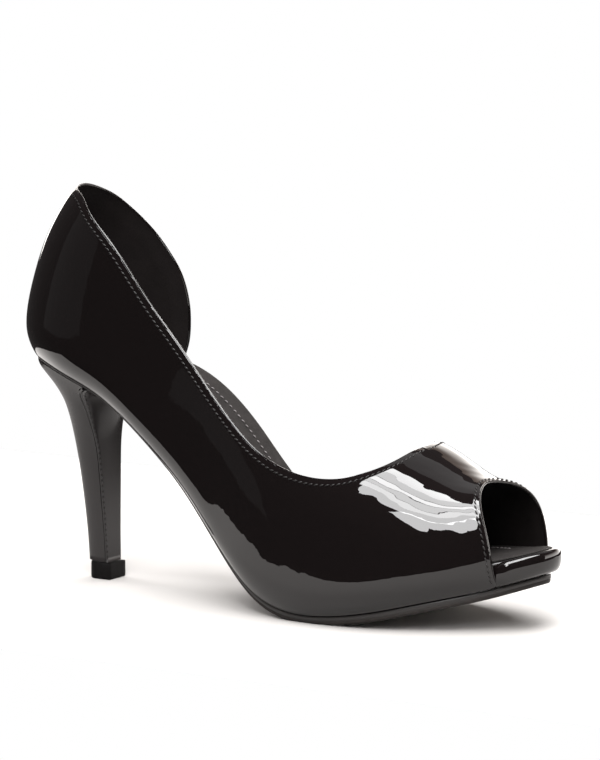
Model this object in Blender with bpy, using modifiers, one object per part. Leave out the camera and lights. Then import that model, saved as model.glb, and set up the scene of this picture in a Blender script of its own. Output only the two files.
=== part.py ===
"""Women's peep toe pump for the right foot, cut away on the inner side, on a covered slim heel.

The shoe is built as a maker lasts it: one form, the last, gives every piece its place.
Metres, +Z up, floor at z = 0. While the pieces are made, x runs from the back of the counter
to the toe and y to the foot's inner side. At the end the whole shoe is moved so that the
origin lies on the floor under the middle of its footprint box.
"""

import bmesh
import bpy
import numpy as np

# Driving sizes of the last
LENGTH = 0.2395  # back of the counter to the tip of the toe, along the floor
BALL_BREADTH = 0.080  # scale of every breadth; the widest section is a little over it
SEAT_HEIGHT = 0.089  # floor to the top of the outsole at the very back
CROWN_HEIGHT = 0.100  # scale of the heights of the last above its sole
BANK_LIFT = 0.0100  # the inner edge of the arch stands this much over the outer edge
TUCK_DEPTH = 0.0045  # how far the wall turns in under itself at the sole
TUCK_HEIGHT = 0.015  # height over which it does so
TUCK_EASE = 0.012  # half breadth at which the turn begins to fade out towards heel and toe
SIDE_FULLNESS = 0.45  # how upright the walls of a section stand

# Upper
UPPER_WALL = 0.0018  # patent skin and lining together
LEANING_WALL = 1.4  # the wall's breadth in plan, where it leans, over its thickness
COUNTER_HEIGHT = 0.068  # sole to topline at the back seam
TOE_OPENING_DEPTH = 0.0295  # tip of the toe back to the edge of the toe opening, on the crown
VAMP_LENGTH = 0.0276  # edge of the toe opening back to the throat, on the crown
TOE_EDGE_FROM_BACK = LENGTH - TOE_OPENING_DEPTH
THROAT_FROM_BACK = TOE_EDGE_FROM_BACK - VAMP_LENGTH
TOE_EDGE_SWEEP = 0.0160  # how much further forward the opening's edge is at the sole
TOE_EDGE_ROUND = 0.12  # how round the opening is on the crown, as a share of its half turn
VAMP_EDGE_SWEEP = 0.0360  # how much further back the vamp's inner edge is at the sole
VAMP_EDGE_ROUND = 0.08  # how round the throat is on the crown, as a share of its half turn
SPLIT_SWEEP = 0.0120  # how much further forward the seamless vamp's outer grid line ends

# Sole and platform
SOLE_SEAT = 0.0013  # outsole thickness over the heel
SOLE_FORE = 0.0035  # outsole thickness under the ball
SOLE_INSET = 0.0008  # the outsole's edge stands this far inside the upper's foot
PLATFORM_BALL = 0.0120  # platform thickness under the ball
PLATFORM_TOE = 0.0076  # platform thickness at its lip
LIP_UNDERCUT = 0.0022  # how far the lip stands over the outsole at the toe
INSOLE_BOARD = 0.0034
INSOLE_TOE = 0.0013  # the board thins out towards the lip
SOCK = 0.0012
SOCK_MARGIN = 0.0012  # the sock stops this far inside the insole's edge
SOLE_BEVEL = 0.0008  # how much the outsole's edge draws in towards its underside
LIP_BEVEL = 0.0012  # how much the platform's lip draws in towards the outsole
TOP_BEVEL = 0.0003  # how much the upper edges of platform, insole and sock draw in

# Heel
HEEL_TIP_FROM_BACK = 0.0339  # back of the counter to the middle of the heel tip
HEEL_TIP_LENGTH = 0.0112
HEEL_TIP_WIDTH = 0.0110
HEEL_TIP_HEIGHT = 0.0065
HEEL_TIP_SQUARE = 0.2  # share of the tip's half length that is straight behind its middle
BREAST_PANEL = 0.0009  # thickness of the cover on the heel's front
PANEL_FLARES_FROM = 0.7  # level from which the heel's front flares to the seat
PANEL_FLARE = 1.5  # how much deeper along the floor the cover is there, by its slope

# Clearances between pieces that touch on the real shoe
SEAT_GAP = 0.0003
WALL_GAP = 0.0006  # between the faceted wall and what stands inside it
EDGE_CLEAR = 0.0014  # the insole's edge stays inside for this far past the upper's edges

# Sections of the last. along is a share of LENGTH, rise of SEAT_HEIGHT, outer and inner
# (half breadths) of BALL_BREADTH, crown of CROWN_HEIGHT and bank of BANK_LIFT. full is how
# flat the top of the section is: 0 for a plain arch.
SECTION_COLUMNS = ("along", "rise", "outer", "inner", "crown", "full", "bank")
SECTIONS = np.array(
    [
        (0.00, 0.990, 0.000, 0.000, 0.98, 0.25, 0.0),
        (0.05, 0.978, 0.230, 0.230, 0.98, 0.25, 0.0),
        (0.12, 0.935, 0.325, 0.325, 0.98, 0.25, 0.0),
        (0.20, 0.852, 0.350, 0.365, 0.97, 0.25, 0.45),
        (0.28, 0.698, 0.355, 0.405, 0.94, 0.25, 0.95),
        (0.36, 0.512, 0.370, 0.415, 0.90, 0.25, 0.95),
        (0.44, 0.292, 0.418, 0.410, 0.84, 0.25, 0.70),
        (0.52, 0.110, 0.480, 0.415, 0.78, 0.25, 0.30),
        (0.60, 0.040, 0.515, 0.440, 0.73, 0.24, 0.0),
        (0.68, 0.045, 0.520, 0.480, 0.665, 0.20, 0.0),
        (0.76, 0.082, 0.490, 0.480, 0.592, 0.09, 0.0),
        (0.84, 0.134, 0.405, 0.430, 0.452, 0.06, 0.0),
        (0.92, 0.188, 0.270, 0.320, 0.385, 0.06, 0.0),
        (0.97, 0.231, 0.150, 0.210, 0.350, 0.06, 0.0),
        (1.00, 0.257, -0.040, 0.040, 0.330, 0.06, 0.0),
    ]
)

# Outer topline, from the back seam forward, then the throat on the crown is its last row.
# along is a share of LENGTH, height a share of COUNTER_HEIGHT over the sole.
EDGE_COLUMNS = ("along", "height")
TOPLINE = np.array(
    [
        (0.00, 1.000),
        (0.04, 0.992),
        (0.08, 0.965),
        (0.15, 0.903),
        (0.21, 0.855),
        (0.27, 0.813),
        (0.32, 0.795),
        (0.37, 0.800),
        (0.44, 0.820),
        (0.50, 0.832),
        (0.56, 0.820),
        (0.625, 0.791),
        (0.66, 0.777),
        (0.693, 0.774),
        (0.722, 0.788),
        (0.745, 0.808),
        (0.759, 0.836),
    ]
)

# Inner edge of the counter, from the back seam forward and down to the sole, same columns.
COUNTER_EDGE = np.array(
    [
        (0.000, 1.000),
        (0.025, 0.950),
        (0.060, 0.887),
        (0.100, 0.820),
        (0.140, 0.743),
        (0.175, 0.650),
        (0.200, 0.558),
        (0.217, 0.440),
        (0.224, 0.320),
        (0.224, 0.210),
        (0.217, 0.110),
        (0.206, 0.000),
    ]
)
COUNTER_CORNER = 6.5  # the row, counted from 0, where the topline turns into the front edge

# Back seam in profile: height over the sole and forward lean, as shares of COUNTER_HEIGHT.
BACK_PROFILE = np.array(
    [
        (0.00, 0.034),
        (0.15, 0.000),
        (0.29, 0.010),
        (0.47, 0.057),
        (0.70, 0.145),
        (0.91, 0.270),
        (1.10, 0.420),
    ]
)
LEAN_REACH = 0.45  # share of LENGTH over which that lean dies out

# Covered heel. level runs from the tip's top, 0, to the seat, 1. back, corner and front are
# shares of HEEL_TIP_FROM_BACK from the tip's middle, and half of BALL_BREADTH.
HEEL_COLUMNS = ("level", "back", "corner", "front", "half")
HEEL = np.array(
    [
        (0.00, -0.213, 0.120, 0.120, 0.058),
        (0.12, -0.232, 0.112, 0.112, 0.062),
        (0.30, -0.276, 0.097, 0.099, 0.073),
        (0.50, -0.345, 0.080, 0.086, 0.086),
        (0.65, -0.416, 0.062, 0.082, 0.103),
        (0.78, -0.491, 0.044, 0.105, 0.140),
        (0.88, -0.591, 0.046, 0.180, 0.180),
        (0.95, -0.718, 0.086, 0.289, 0.225),
        (1.00, -0.902, 0.204, 0.431, 0.265),
    ]
)

# Where things start and end along the sole, as shares of LENGTH
PLATFORM_FROM, PLATFORM_FULL_AT = 0.38, 0.62
PLATFORM_BACK = 0.42  # the platform's own back end, where it has thinned out
SOLE_THICKENS_FROM, SOLE_FULL_AT = 0.25, 0.60
LIP_FROM, LIP_TO = 0.930, 0.955  # where the platform's edge swings out to the toe's outline
BEYOND_EDGE = 1.2  # how far across, from the outer edge, the sole's slope goes on
UNDERCUT_FROM = 0.85  # where the outsole's edge starts to draw in under the lip
BARE_FROM_COUNTER, BARE_FROM_VAMP = 0.025, 0.045  # over which the insole's edge swings out

# Mesh density
VAMP_ROWS, QUARTER_ROWS, COUNTER_ROWS, WALL_ROWS = 12, 36, 12, 13
STATIONS, ACROSS = 48, 6
HEEL_RINGS, HEEL_ROUND, HEEL_FRONT = 18, 18, 6


def spline(xs, ys, at):
    """Natural cubic spline through (xs, ys), read at the given places."""
    xs, ys = np.asarray(xs, float), np.asarray(ys, float)
    step = np.diff(xs)
    matrix, right = np.eye(len(xs)), np.zeros(len(xs))
    for i in range(1, len(xs) - 1):
        matrix[i, i - 1 : i + 2] = step[i - 1], 2 * (step[i - 1] + step[i]), step[i]
        right[i] = 6 * ((ys[i + 1] - ys[i]) / step[i] - (ys[i] - ys[i - 1]) / step[i - 1])
    bend = np.linalg.solve(matrix, right)
    at = np.clip(np.asarray(at, float), xs[0], xs[-1])
    i = np.clip(np.searchsorted(xs, at) - 1, 0, len(xs) - 2)
    left, ahead, width = at - xs[i], xs[i + 1] - at, step[i]
    curve = (bend[i] * ahead**3 + bend[i + 1] * left**3) / (6 * width)
    line = (ys[i] / width - bend[i] * width / 6) * ahead
    return curve + line + (ys[i + 1] / width - bend[i + 1] * width / 6) * left


def turn(along):
    """The round coordinate, 0 at the back and 1 at the toe, in which both ends are smooth."""
    return np.arccos(np.clip(1 - 2 * np.asarray(along, float), -1, 1)) / np.pi


def along_of(turned):
    """The share of LENGTH at a round coordinate."""
    return (1 - np.cos(np.pi * np.asarray(turned, float))) / 2


def section(name, along):
    """One column of SECTIONS, read along the shoe."""
    values = SECTIONS[:, SECTION_COLUMNS.index(name)]
    if name in ("outer", "inner"):
        return spline(turn(SECTIONS[:, 0]), values, turn(along))
    return spline(SECTIONS[:, 0], values, along)


def fade(value):
    """Smooth step from 0 to 1."""
    value = np.clip(value, 0, 1)
    return value * value * (3 - 2 * value)


def back_lean(height, along):
    """How far the counter leans forward at a height over the sole."""
    share = np.clip(height / COUNTER_HEIGHT, 0, BACK_PROFILE[-1, 0])
    lean = COUNTER_HEIGHT * spline(BACK_PROFILE[:, 0], BACK_PROFILE[:, 1], share)
    return lean * fade(1 - along / LEAN_REACH)


def sole_top(along, across):
    """Height of the outsole's top, across running from 0 at the outer edge to 1 at the inner."""
    return SEAT_HEIGHT * section("rise", along) + BANK_LIFT * section("bank", along) * across


def last_point(along, around):
    """A point of the last. around runs from -1 at the outer sole edge over 0 on the crown to 1."""
    along, around = np.broadcast_arrays(np.asarray(along, float), np.asarray(around, float))
    outer, inner = BALL_BREADTH * section("outer", along), BALL_BREADTH * section("inner", along)
    middle, half = (inner - outer) / 2, (inner + outer) / 2
    angle = np.abs(around) * np.pi / 2
    side = np.sin(angle) * (1 + SIDE_FULLNESS * np.cos(angle) ** 2)
    height = height_at(along, np.abs(around))
    tuck = TUCK_DEPTH * half / np.hypot(half, TUCK_EASE)
    tuck = tuck * np.clip(1 - height / TUCK_HEIGHT, 0, 1) ** 3
    x = LENGTH * along + back_lean(height, along)
    y = middle + np.sign(around) * (half * side - tuck)
    z = sole_top(along, (1 + np.sin(around * np.pi / 2)) / 2) + height
    return np.stack([x, y, z], -1)


def height_at(along, share):
    """Height over the sole at a share of the way from the crown, 0, to the sole, 1."""
    angle = np.asarray(share, float) * np.pi / 2
    top = CROWN_HEIGHT * section("crown", along)
    return top * np.cos(angle) * (1 + section("full", along) * np.sin(angle) ** 2)


def share_at(along, height):
    """The inverse of height_at, by halving."""
    low = np.zeros(np.broadcast(along, height).shape)
    high = np.ones_like(low)
    for _ in range(40):
        middle = (low + high) / 2
        above = height_at(along, middle) > height
        low, high = np.where(above, middle, low), np.where(above, high, middle)
    return (low + high) / 2


def even(curve, count):
    """A curve of (signed round coordinate, share) pairs at count + 1 places of equal spacing."""
    steps = np.linalg.norm(np.diff(last_of(curve), axis=0), axis=1)
    length = np.concatenate([[0], np.cumsum(steps)])
    wanted = np.linspace(0, length[-1], count + 1)
    return np.stack([np.interp(wanted, length, curve[:, k]) for k in (0, 1)], -1)


def patch(bottom, top, start, end):
    """Coons patch: a grid of (along, around) pairs between four edges that share corners."""
    u = np.linspace(0, 1, len(bottom))[:, None, None]
    v = np.linspace(0, 1, len(start))[None, :, None]
    ruled = (1 - v) * bottom[:, None] + v * top[:, None]
    crossed = (1 - u) * start[None] + u * end[None]
    corners = (1 - u) * ((1 - v) * bottom[0] + v * top[0])
    corners = corners + u * ((1 - v) * bottom[-1] + v * top[-1])
    return ruled + crossed - corners


def toe_edge(around):
    """Edge of the toe opening, as a share of LENGTH."""
    swept = np.hypot(np.sin(around * np.pi / 2), TOE_EDGE_ROUND) - TOE_EDGE_ROUND
    return (TOE_EDGE_FROM_BACK + TOE_EDGE_SWEEP * swept) / LENGTH


def vamp_edge(around):
    """The vamp's inner edge, from the throat down to the sole."""
    swept = np.hypot(around, VAMP_EDGE_ROUND) - VAMP_EDGE_ROUND
    return (THROAT_FROM_BACK - VAMP_EDGE_SWEEP * swept) / LENGTH


def table_edge(table, rows):
    """(round coordinate, share) along an edge that starts at the back seam, at places counted
    in rows of its table."""
    order = np.arange(-1, len(table))
    turned, heights = turn(table[:, 0]), COUNTER_HEIGHT * table[:, 1]
    around_back = spline(order, np.insert(turned, 0, -turned[1]), rows)
    height = spline(order, np.insert(heights, 0, heights[1]), rows)
    along = along_of(np.abs(around_back))
    return np.stack([around_back, share_at(along, np.clip(height, 0, height_at(along, 0.0)))], -1)


def outer_topline():
    """Fine (signed round coordinate, share) pairs along the outer topline, throat first."""
    throat = THROAT_FROM_BACK / LENGTH
    crown = height_at(throat, 0.0) / COUNTER_HEIGHT
    table = np.vstack([TOPLINE, (throat, crown)])
    curve = table_edge(table, np.linspace(len(table) - 1, 0, 600))
    return curve * (-1, 1)


def last_of(grid):
    """Last points for (signed round coordinate, share) pairs: negative is the outer side."""
    side = np.where(grid[..., 0] < 0, -1.0, 1.0)
    return last_point(along_of(np.abs(grid[..., 0])), side * grid[..., 1])


def vamp_grid():
    """The vamp from the toe opening back to the throat, over the foot from side to side."""
    around = np.linspace(-1, 1, 2 * WALL_ROWS + 1)
    split = (THROAT_FROM_BACK + SPLIT_SWEEP * np.abs(around)) / LENGTH
    back = np.where(around < 0, split, vamp_edge(around))
    share = np.linspace(0, 1, VAMP_ROWS + 1)[:, None]
    along = (1 - share) * toe_edge(around) + share * back
    return last_point(along, np.broadcast_to(around, along.shape))


def quarter_grid():
    """The outer quarter, from the vamp's split line back to the back seam."""
    throat = THROAT_FROM_BACK / LENGTH
    split = throat + SPLIT_SWEEP / LENGTH
    top = even(outer_topline(), QUARTER_ROWS)
    back = 1 - np.linspace(0, 1, 400)
    low = even(np.stack([-turn(split) * back, np.ones_like(back)], -1), QUARTER_ROWS)
    down = np.linspace(0, 1, WALL_ROWS + 1)
    start = np.stack([-turn(split + (throat - split) * down), 1 - down], -1)
    end = np.stack([np.zeros_like(down), 1 - down * (1 - top[-1, 1])], -1)
    return last_of(patch(low, top, start, end))


def counter_grid():
    """The inner half of the counter, from the back seam to its cut-away front edge."""
    last_row = len(COUNTER_EDGE) - 1
    top = even(table_edge(COUNTER_EDGE, np.linspace(0, COUNTER_CORNER, 200)), COUNTER_ROWS)
    front = np.linspace(last_row, COUNTER_CORNER, 200)
    end = even(table_edge(COUNTER_EDGE, front), WALL_ROWS)
    down = np.linspace(0, 1, WALL_ROWS + 1)
    start = np.stack([np.zeros_like(down), 1 - down * (1 - top[0, 1])], -1)
    low = np.stack([np.linspace(0, end[0, 0], COUNTER_ROWS + 1), np.ones(COUNTER_ROWS + 1)], -1)
    return last_of(patch(low, top, start, end))


def material(name, colour, roughness, metallic=0.0):
    """A Principled material of one colour."""
    made = bpy.data.materials.new(name)
    made.use_nodes = True
    shader = made.node_tree.nodes["Principled BSDF"]
    shader.inputs["Base Color"].default_value = (*colour, 1.0)
    shader.inputs["Roughness"].default_value = roughness
    shader.inputs["Metallic"].default_value = metallic
    return made


def add_object(name, bm, finish, shoe):
    """Turns a bmesh into a named object with its own material, in the shoe's collection."""
    bmesh.ops.remove_doubles(bm, verts=bm.verts, dist=1e-6)
    mesh = bpy.data.meshes.new(name)
    bm.to_mesh(mesh)
    bm.free()
    mesh.shade_smooth()
    mesh.set_sharp_from_angle(angle=np.radians(40))
    mesh.materials.append(finish)
    made = bpy.data.objects.new(name, mesh)
    shoe.objects.link(made)
    return made


def add_grid(bm, points):
    """Quads over a grid of points."""
    rows, columns = points.shape[:2]
    verts = [[bm.verts.new(point) for point in row] for row in points]
    for i in range(rows - 1):
        for j in range(columns - 1):
            bm.faces.new((verts[i][j], verts[i][j + 1], verts[i + 1][j + 1], verts[i + 1][j]))


def loft(rings):
    """Closed solid through rings of equal size, capped at both ends."""
    bm = bmesh.new()
    verts = [[bm.verts.new(point) for point in ring] for ring in rings]
    count = len(verts[0])
    for low, high in zip(verts, verts[1:]):
        for j in range(count):
            k = (j + 1) % count
            bm.faces.new((low[j], low[k], high[k], high[j]))
    bm.faces.new(reversed(verts[0]))
    bm.faces.new(verts[-1])
    bmesh.ops.remove_doubles(bm, verts=bm.verts, dist=1e-6)
    bmesh.ops.dissolve_degenerate(bm, dist=1e-6, edges=bm.edges)
    bmesh.ops.recalc_face_normals(bm, faces=bm.faces)
    if bm.calc_volume(signed=True) < 0:
        bmesh.ops.reverse_faces(bm, faces=bm.faces)
    return bm


def plan_edge(turned, side, height, inset):
    """Edge of the last in plan at a height over the sole, moved in by an inset."""
    step = 1e-3

    def wall(place):
        along = along_of(place)
        return last_point(along, side * share_at(along, height))[..., :2]

    ahead = wall(turned + step) - wall(turned - step)
    ahead = ahead / np.linalg.norm(ahead, axis=-1, keepdims=True)
    inward = side * np.stack([ahead[..., 1], -ahead[..., 0]], -1)
    return wall(turned) + np.broadcast_to(inset, turned.shape)[:, None] * inward


def sole_along(x):
    """Share of LENGTH at x on the sole, which starts forward of the counter's back."""
    fine = np.linspace(0, 1, 801)
    return np.interp(x, LENGTH * fine + back_lean(np.zeros_like(fine), fine), fine)


def sole_z(x, y):
    """Height of the outsole's top at any place in plan, a little beyond its edges too."""
    turned = stations(count=400)
    edges = [plan_edge(turned, side, 0.0, 0.0) for side in (-1, 1)]
    outer, inner = (np.interp(x, edge[:, 0], edge[:, 1]) for edge in edges)
    across = (y - outer) / np.maximum(inner - outer, 0.004)
    return sole_top(sole_along(x), np.clip(across, 0, BEYOND_EDGE))


def platform_top(along):
    """Height of the hidden platform over the sole."""
    grown = fade((along - PLATFORM_FROM) / (PLATFORM_FULL_AT - PLATFORM_FROM))
    thinned = fade((along - PLATFORM_FULL_AT) / (1 - PLATFORM_FULL_AT))
    return grown * (PLATFORM_BALL + (PLATFORM_TOE - PLATFORM_BALL) * thinned)


def insole_base(along):
    """Height of the insole's underside over the sole."""
    return platform_top(along) + SEAT_GAP


def insole_top(along):
    """Height of the insole's upper side over the sole."""
    thinned = fade((along - PLATFORM_FULL_AT) / (1 - PLATFORM_FULL_AT))
    return insole_base(along) + INSOLE_BOARD + (INSOLE_TOE - INSOLE_BOARD) * thinned


def sock_base(along):
    """Height of the sock's underside over the sole."""
    return insole_top(along) + SEAT_GAP


def sole_base(along):
    """Depth of the outsole's underside below the sole line."""
    grown = fade((along - SOLE_THICKENS_FROM) / (SOLE_FULL_AT - SOLE_THICKENS_FROM))
    return SEAT_GAP + SOLE_SEAT + (SOLE_FORE - SOLE_SEAT) * grown


def surface(outer, inner, height):
    """Points across the shoe between two edges in plan, at a height over the sole."""
    f = np.linspace(0, 1, ACROSS)
    plan = outer[:, None] + f[None, :, None] * (inner - outer)[:, None]
    z = sole_z(plan[..., 0], plan[..., 1]) + height(sole_along(plan[..., 0]))
    return np.concatenate([plan, np.maximum(z, 0)[..., None]], -1)


def slab(top, bottom):
    """Closed slab between two surfaces of equal size."""
    return loft(np.concatenate([top, bottom[:, ::-1]], axis=1))


def stations(count=STATIONS):
    """Round coordinates of the slabs' sections, a little inside both ends of the last."""
    return np.linspace(0.015, 0.985, count)


def in_gap(along):
    """1 where the inner side is cut away and the insole's edge lies open, 0 inside the upper."""
    starts, ends = COUNTER_EDGE[-1, 0] + EDGE_CLEAR / LENGTH, vamp_edge(1.0)
    grown = fade((along - starts) / BARE_FROM_COUNTER)
    return grown * fade((ends + EDGE_CLEAR / LENGTH - along) / BARE_FROM_VAMP)


def add_outsole(shoe):
    """Thin sole from the seat to the toe, thicker and flat on the floor under the ball."""
    turned = stations()
    under_lip = LIP_UNDERCUT * fade((along_of(turned) - UNDERCUT_FROM) / (1 - UNDERCUT_FROM))
    edges = [plan_edge(turned, side, 0.0, SOLE_INSET + under_lip) for side in (-1, 1)]
    inset = SOLE_INSET + under_lip + SOLE_BEVEL
    under = [plan_edge(turned, side, 0.0, inset) for side in (-1, 1)]
    top = surface(*edges, lambda along: np.full_like(along, -SEAT_GAP))
    bottom = surface(*under, lambda along: -sole_base(along))
    finish = material("outsole_black", (0.022, 0.017, 0.015), 0.55)
    return add_object("outsole", slab(top, bottom), finish, shoe)


def add_platform(shoe):
    """Core under the forefoot, hidden in the upper up to its patent lip in the toe opening."""
    turned = stations()
    turned = turned[turned > turn(PLATFORM_BACK)]
    along = along_of(turned)
    lip = fade((along - LIP_FROM) / (LIP_TO - LIP_FROM))
    inside = (UPPER_WALL * LEANING_WALL + WALL_GAP) * (1 - lip)
    low = [plan_edge(turned, side, 0.0, inside + LIP_BEVEL * lip) for side in (-1, 1)]
    high = [plan_edge(turned, side, platform_top(along), inside + TOP_BEVEL) for side in (-1, 1)]
    top, bottom = surface(*high, platform_top), surface(*low, np.zeros_like)
    finish = material("patent_lip", (0.010, 0.009, 0.009), 0.08)
    return add_object("platform", slab(top, bottom), finish, shoe)


def bed_edge(turned, side, height, inset, spread):
    """Edge of a layer of the footbed: inside the upper, or out over the cut-away arch."""
    lip = fade((along_of(turned) - LIP_FROM) / (LIP_TO - LIP_FROM))
    walled = (UPPER_WALL * LEANING_WALL + WALL_GAP) * (1 - lip) + LIP_BEVEL / 2 * lip
    inside = plan_edge(turned, side, height, walled + inset)
    if side < 0:
        return inside
    open_edge = plan_edge(turned, side, spread, inset)
    bare = in_gap(along_of(turned))[:, None]
    return inside + (open_edge - inside) * bare


def add_insole(shoe):
    """Board that carries the foot. Its edge is wrapped, and open to view along the arch."""
    turned = stations()
    along = along_of(turned)
    base, crest = insole_base(along), insole_top(along)
    low = [bed_edge(turned, side, base, TOP_BEVEL, 0.0) for side in (-1, 1)]
    high = [bed_edge(turned, side, crest, 0.0, TUCK_HEIGHT) for side in (-1, 1)]
    top = surface(*high, insole_top)
    bottom = surface(*low, insole_base)
    finish = material("insole_wrap", (0.012, 0.011, 0.011), 0.30)
    return add_object("insole", slab(top, bottom), finish, shoe)


def add_sock(shoe):
    """Sock lining over the whole insole, a little inside its edge."""
    turned = stations()
    base = sock_base(along_of(turned))
    low = [bed_edge(turned, side, base, SOCK_MARGIN, TUCK_HEIGHT) for side in (-1, 1)]
    inset = SOCK_MARGIN + TOP_BEVEL
    high = [bed_edge(turned, side, base, inset, TUCK_HEIGHT) for side in (-1, 1)]
    top = surface(*high, lambda at: sock_base(at) + SOCK)
    bottom = surface(*low, sock_base)
    finish = material("sock_grey", (0.060, 0.058, 0.057), 0.60)
    return add_object("sock", slab(top, bottom), finish, shoe)


def heel_size(name, level):
    """One column of HEEL in metres: places along x, or a half breadth."""
    values = spline(HEEL[:, 0], HEEL[:, HEEL_COLUMNS.index(name)], level)
    if name == "half":
        return BALL_BREADTH * values
    return HEEL_TIP_FROM_BACK + HEEL_TIP_FROM_BACK * values


def heel_round(level):
    """The heel's sides and back in plan at a level, from the inner front corner round."""
    angle = np.linspace(np.pi / 2, -np.pi / 2, HEEL_ROUND + 1)
    back, corner = heel_size("back", level), heel_size("corner", level)
    x = corner - (corner - back) * np.cos(angle)
    seat = np.abs(plan_edge(stations(count=120), -1, 0.0, SOLE_INSET))
    held = np.interp(x, seat[:, 0], seat[:, 1]) / np.interp(corner, seat[:, 0], seat[:, 1])
    like_seat = fade((level - 0.8) / 0.2)
    y = np.sin(angle) * (1 - like_seat) + np.sign(angle) * held * like_seat
    return np.stack([x, heel_size("half", level) * y], -1)


def heel_breast(level, depth):
    """The heel's front in plan, from the outer corner to the inner, set back by depth.

    Depth is taken along x, so it grows where the front flares.
    """
    f = np.linspace(-1, 1, HEEL_FRONT + 1)
    corner, front = heel_size("corner", level), heel_size("front", level)
    square = 1 + PANEL_FLARE * fade((level - PANEL_FLARES_FROM) / (1 - PANEL_FLARES_FROM))
    x = corner + (front - corner) * (1 - f**2) - depth * square
    return np.stack([x, heel_size("half", level) * f], -1)


def heel_heights(plan, level):
    """Heights that make level 0 flat on the heel tip and level 1 follow the outsole."""
    x, y = plan[..., 0], plan[..., 1]
    seat = sole_z(x, y) - sole_base(sole_along(x)) - SEAT_GAP
    base = HEEL_TIP_HEIGHT + SEAT_GAP
    return base + level * (seat - base)


def in_space(plan, level, heights_of=None):
    """Points of a plan curve at a level, with the heights of that curve or of a given one."""
    heights = heel_heights(plan if heights_of is None else heights_of, level)
    return np.concatenate([plan, heights[:, None]], -1)


def add_heel(shoe):
    """Patent covered heel, slim and D-shaped, flaring to the seat."""
    rings = []
    for level in np.linspace(0, 1, HEEL_RINGS) ** 0.8:
        sides = heel_round(level)
        front, breast = heel_breast(level, 0.0), heel_breast(level, BREAST_PANEL + SEAT_GAP)
        sides[:, 0] = np.minimum(sides[:, 0], breast[0, 0])
        breast = in_space(breast, level, front)
        ring = in_space(sides, level)
        ring[0, 2], ring[-1, 2] = breast[-1, 2], breast[0, 2]
        rings.append(np.concatenate([ring, breast[1:-1]]))
    finish = material("patent_heel", (0.012, 0.012, 0.012), 0.14)
    return add_object("heel", loft(rings), finish, shoe)


def add_breast_cover(shoe):
    """The separate patent piece on the heel's front."""
    rings = []
    for level in np.linspace(0, 1, HEEL_RINGS) ** 0.8:
        front, back = heel_breast(level, 0.0), heel_breast(level, BREAST_PANEL)
        ring = np.concatenate([in_space(back, level, front), in_space(front, level)[::-1]])
        rings.append(ring[::-1])
    finish = material("patent_breast", (0.010, 0.010, 0.010), 0.10)
    return add_object("breast_cover", loft(rings), finish, shoe)


def add_heel_tip(shoe):
    """Rubber top piece: square to the front, round behind, flat on the floor."""
    half_long, half_wide = HEEL_TIP_LENGTH / 2, HEEL_TIP_WIDTH / 2
    angle = np.linspace(np.pi / 2, 3 * np.pi / 2, 13)
    front = [(half_long, -half_wide), (half_long, half_wide)]
    x = half_long * ((1 - HEEL_TIP_SQUARE) * np.cos(angle) - HEEL_TIP_SQUARE)
    plan = np.vstack([front, np.stack([x, half_wide * np.sin(angle)], -1)])
    plan = plan + (HEEL_TIP_FROM_BACK, 0)
    rings = [[(x, y, z) for x, y in plan] for z in (0.0, HEEL_TIP_HEIGHT)]
    finish = material("tip_rubber", (0.030, 0.029, 0.028), 0.60)
    return add_object("heel_tip", loft(rings), finish, shoe)


def add_upper(shoe):
    """Vamp, outer quarter and counter in one seamless skin, cut away along the inner arch."""
    bm = bmesh.new()
    for points in (vamp_grid(), quarter_grid(), counter_grid()):
        add_grid(bm, points)
    finish = material("patent_upper", (0.010, 0.009, 0.009), 0.07)
    upper = add_object("upper", bm, finish, shoe)
    wall = upper.modifiers.new("wall", "SOLIDIFY")
    wall.thickness, wall.offset = UPPER_WALL, -1.0
    wall.use_even_offset = True
    return upper


def place(pieces):
    """Moves the shoe so that the origin is on the floor under the middle of its box."""
    corners = []
    for piece in pieces:
        points = np.empty(len(piece.data.vertices) * 3)
        piece.data.vertices.foreach_get("co", points)
        points = points.reshape(-1, 3)
        corners += [points.min(axis=0), points.max(axis=0)]
    low, high = np.min(corners, axis=0), np.max(corners, axis=0)
    for piece in pieces:
        piece.location = (-(low[0] + high[0]) / 2, -(low[1] + high[1]) / 2, -low[2])


def main():
    for old in list(bpy.data.objects):
        bpy.data.objects.remove(old)
    shoe = bpy.data.collections.new("peep_toe_pump")
    bpy.context.scene.collection.children.link(shoe)
    makers = (
        add_outsole,
        add_platform,
        add_insole,
        add_sock,
        add_heel,
        add_breast_cover,
        add_heel_tip,
        add_upper,
    )
    place([make(shoe) for make in makers])


if __name__ == "__main__":
    main()
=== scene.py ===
"""Looks of a women's peep toe pump for the right foot, in black patent leather.

Every surface is worked out from the last, the form that a shoe is made on, at the sizes of the
solids in the frame. Metres, +X to the toe, +Y to the foot's inner side, +Z up, floor at z = 0.
"""

import logging
from dataclasses import dataclass, field
from enum import Enum
from functools import cached_property, lru_cache
from typing import Callable

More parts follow.
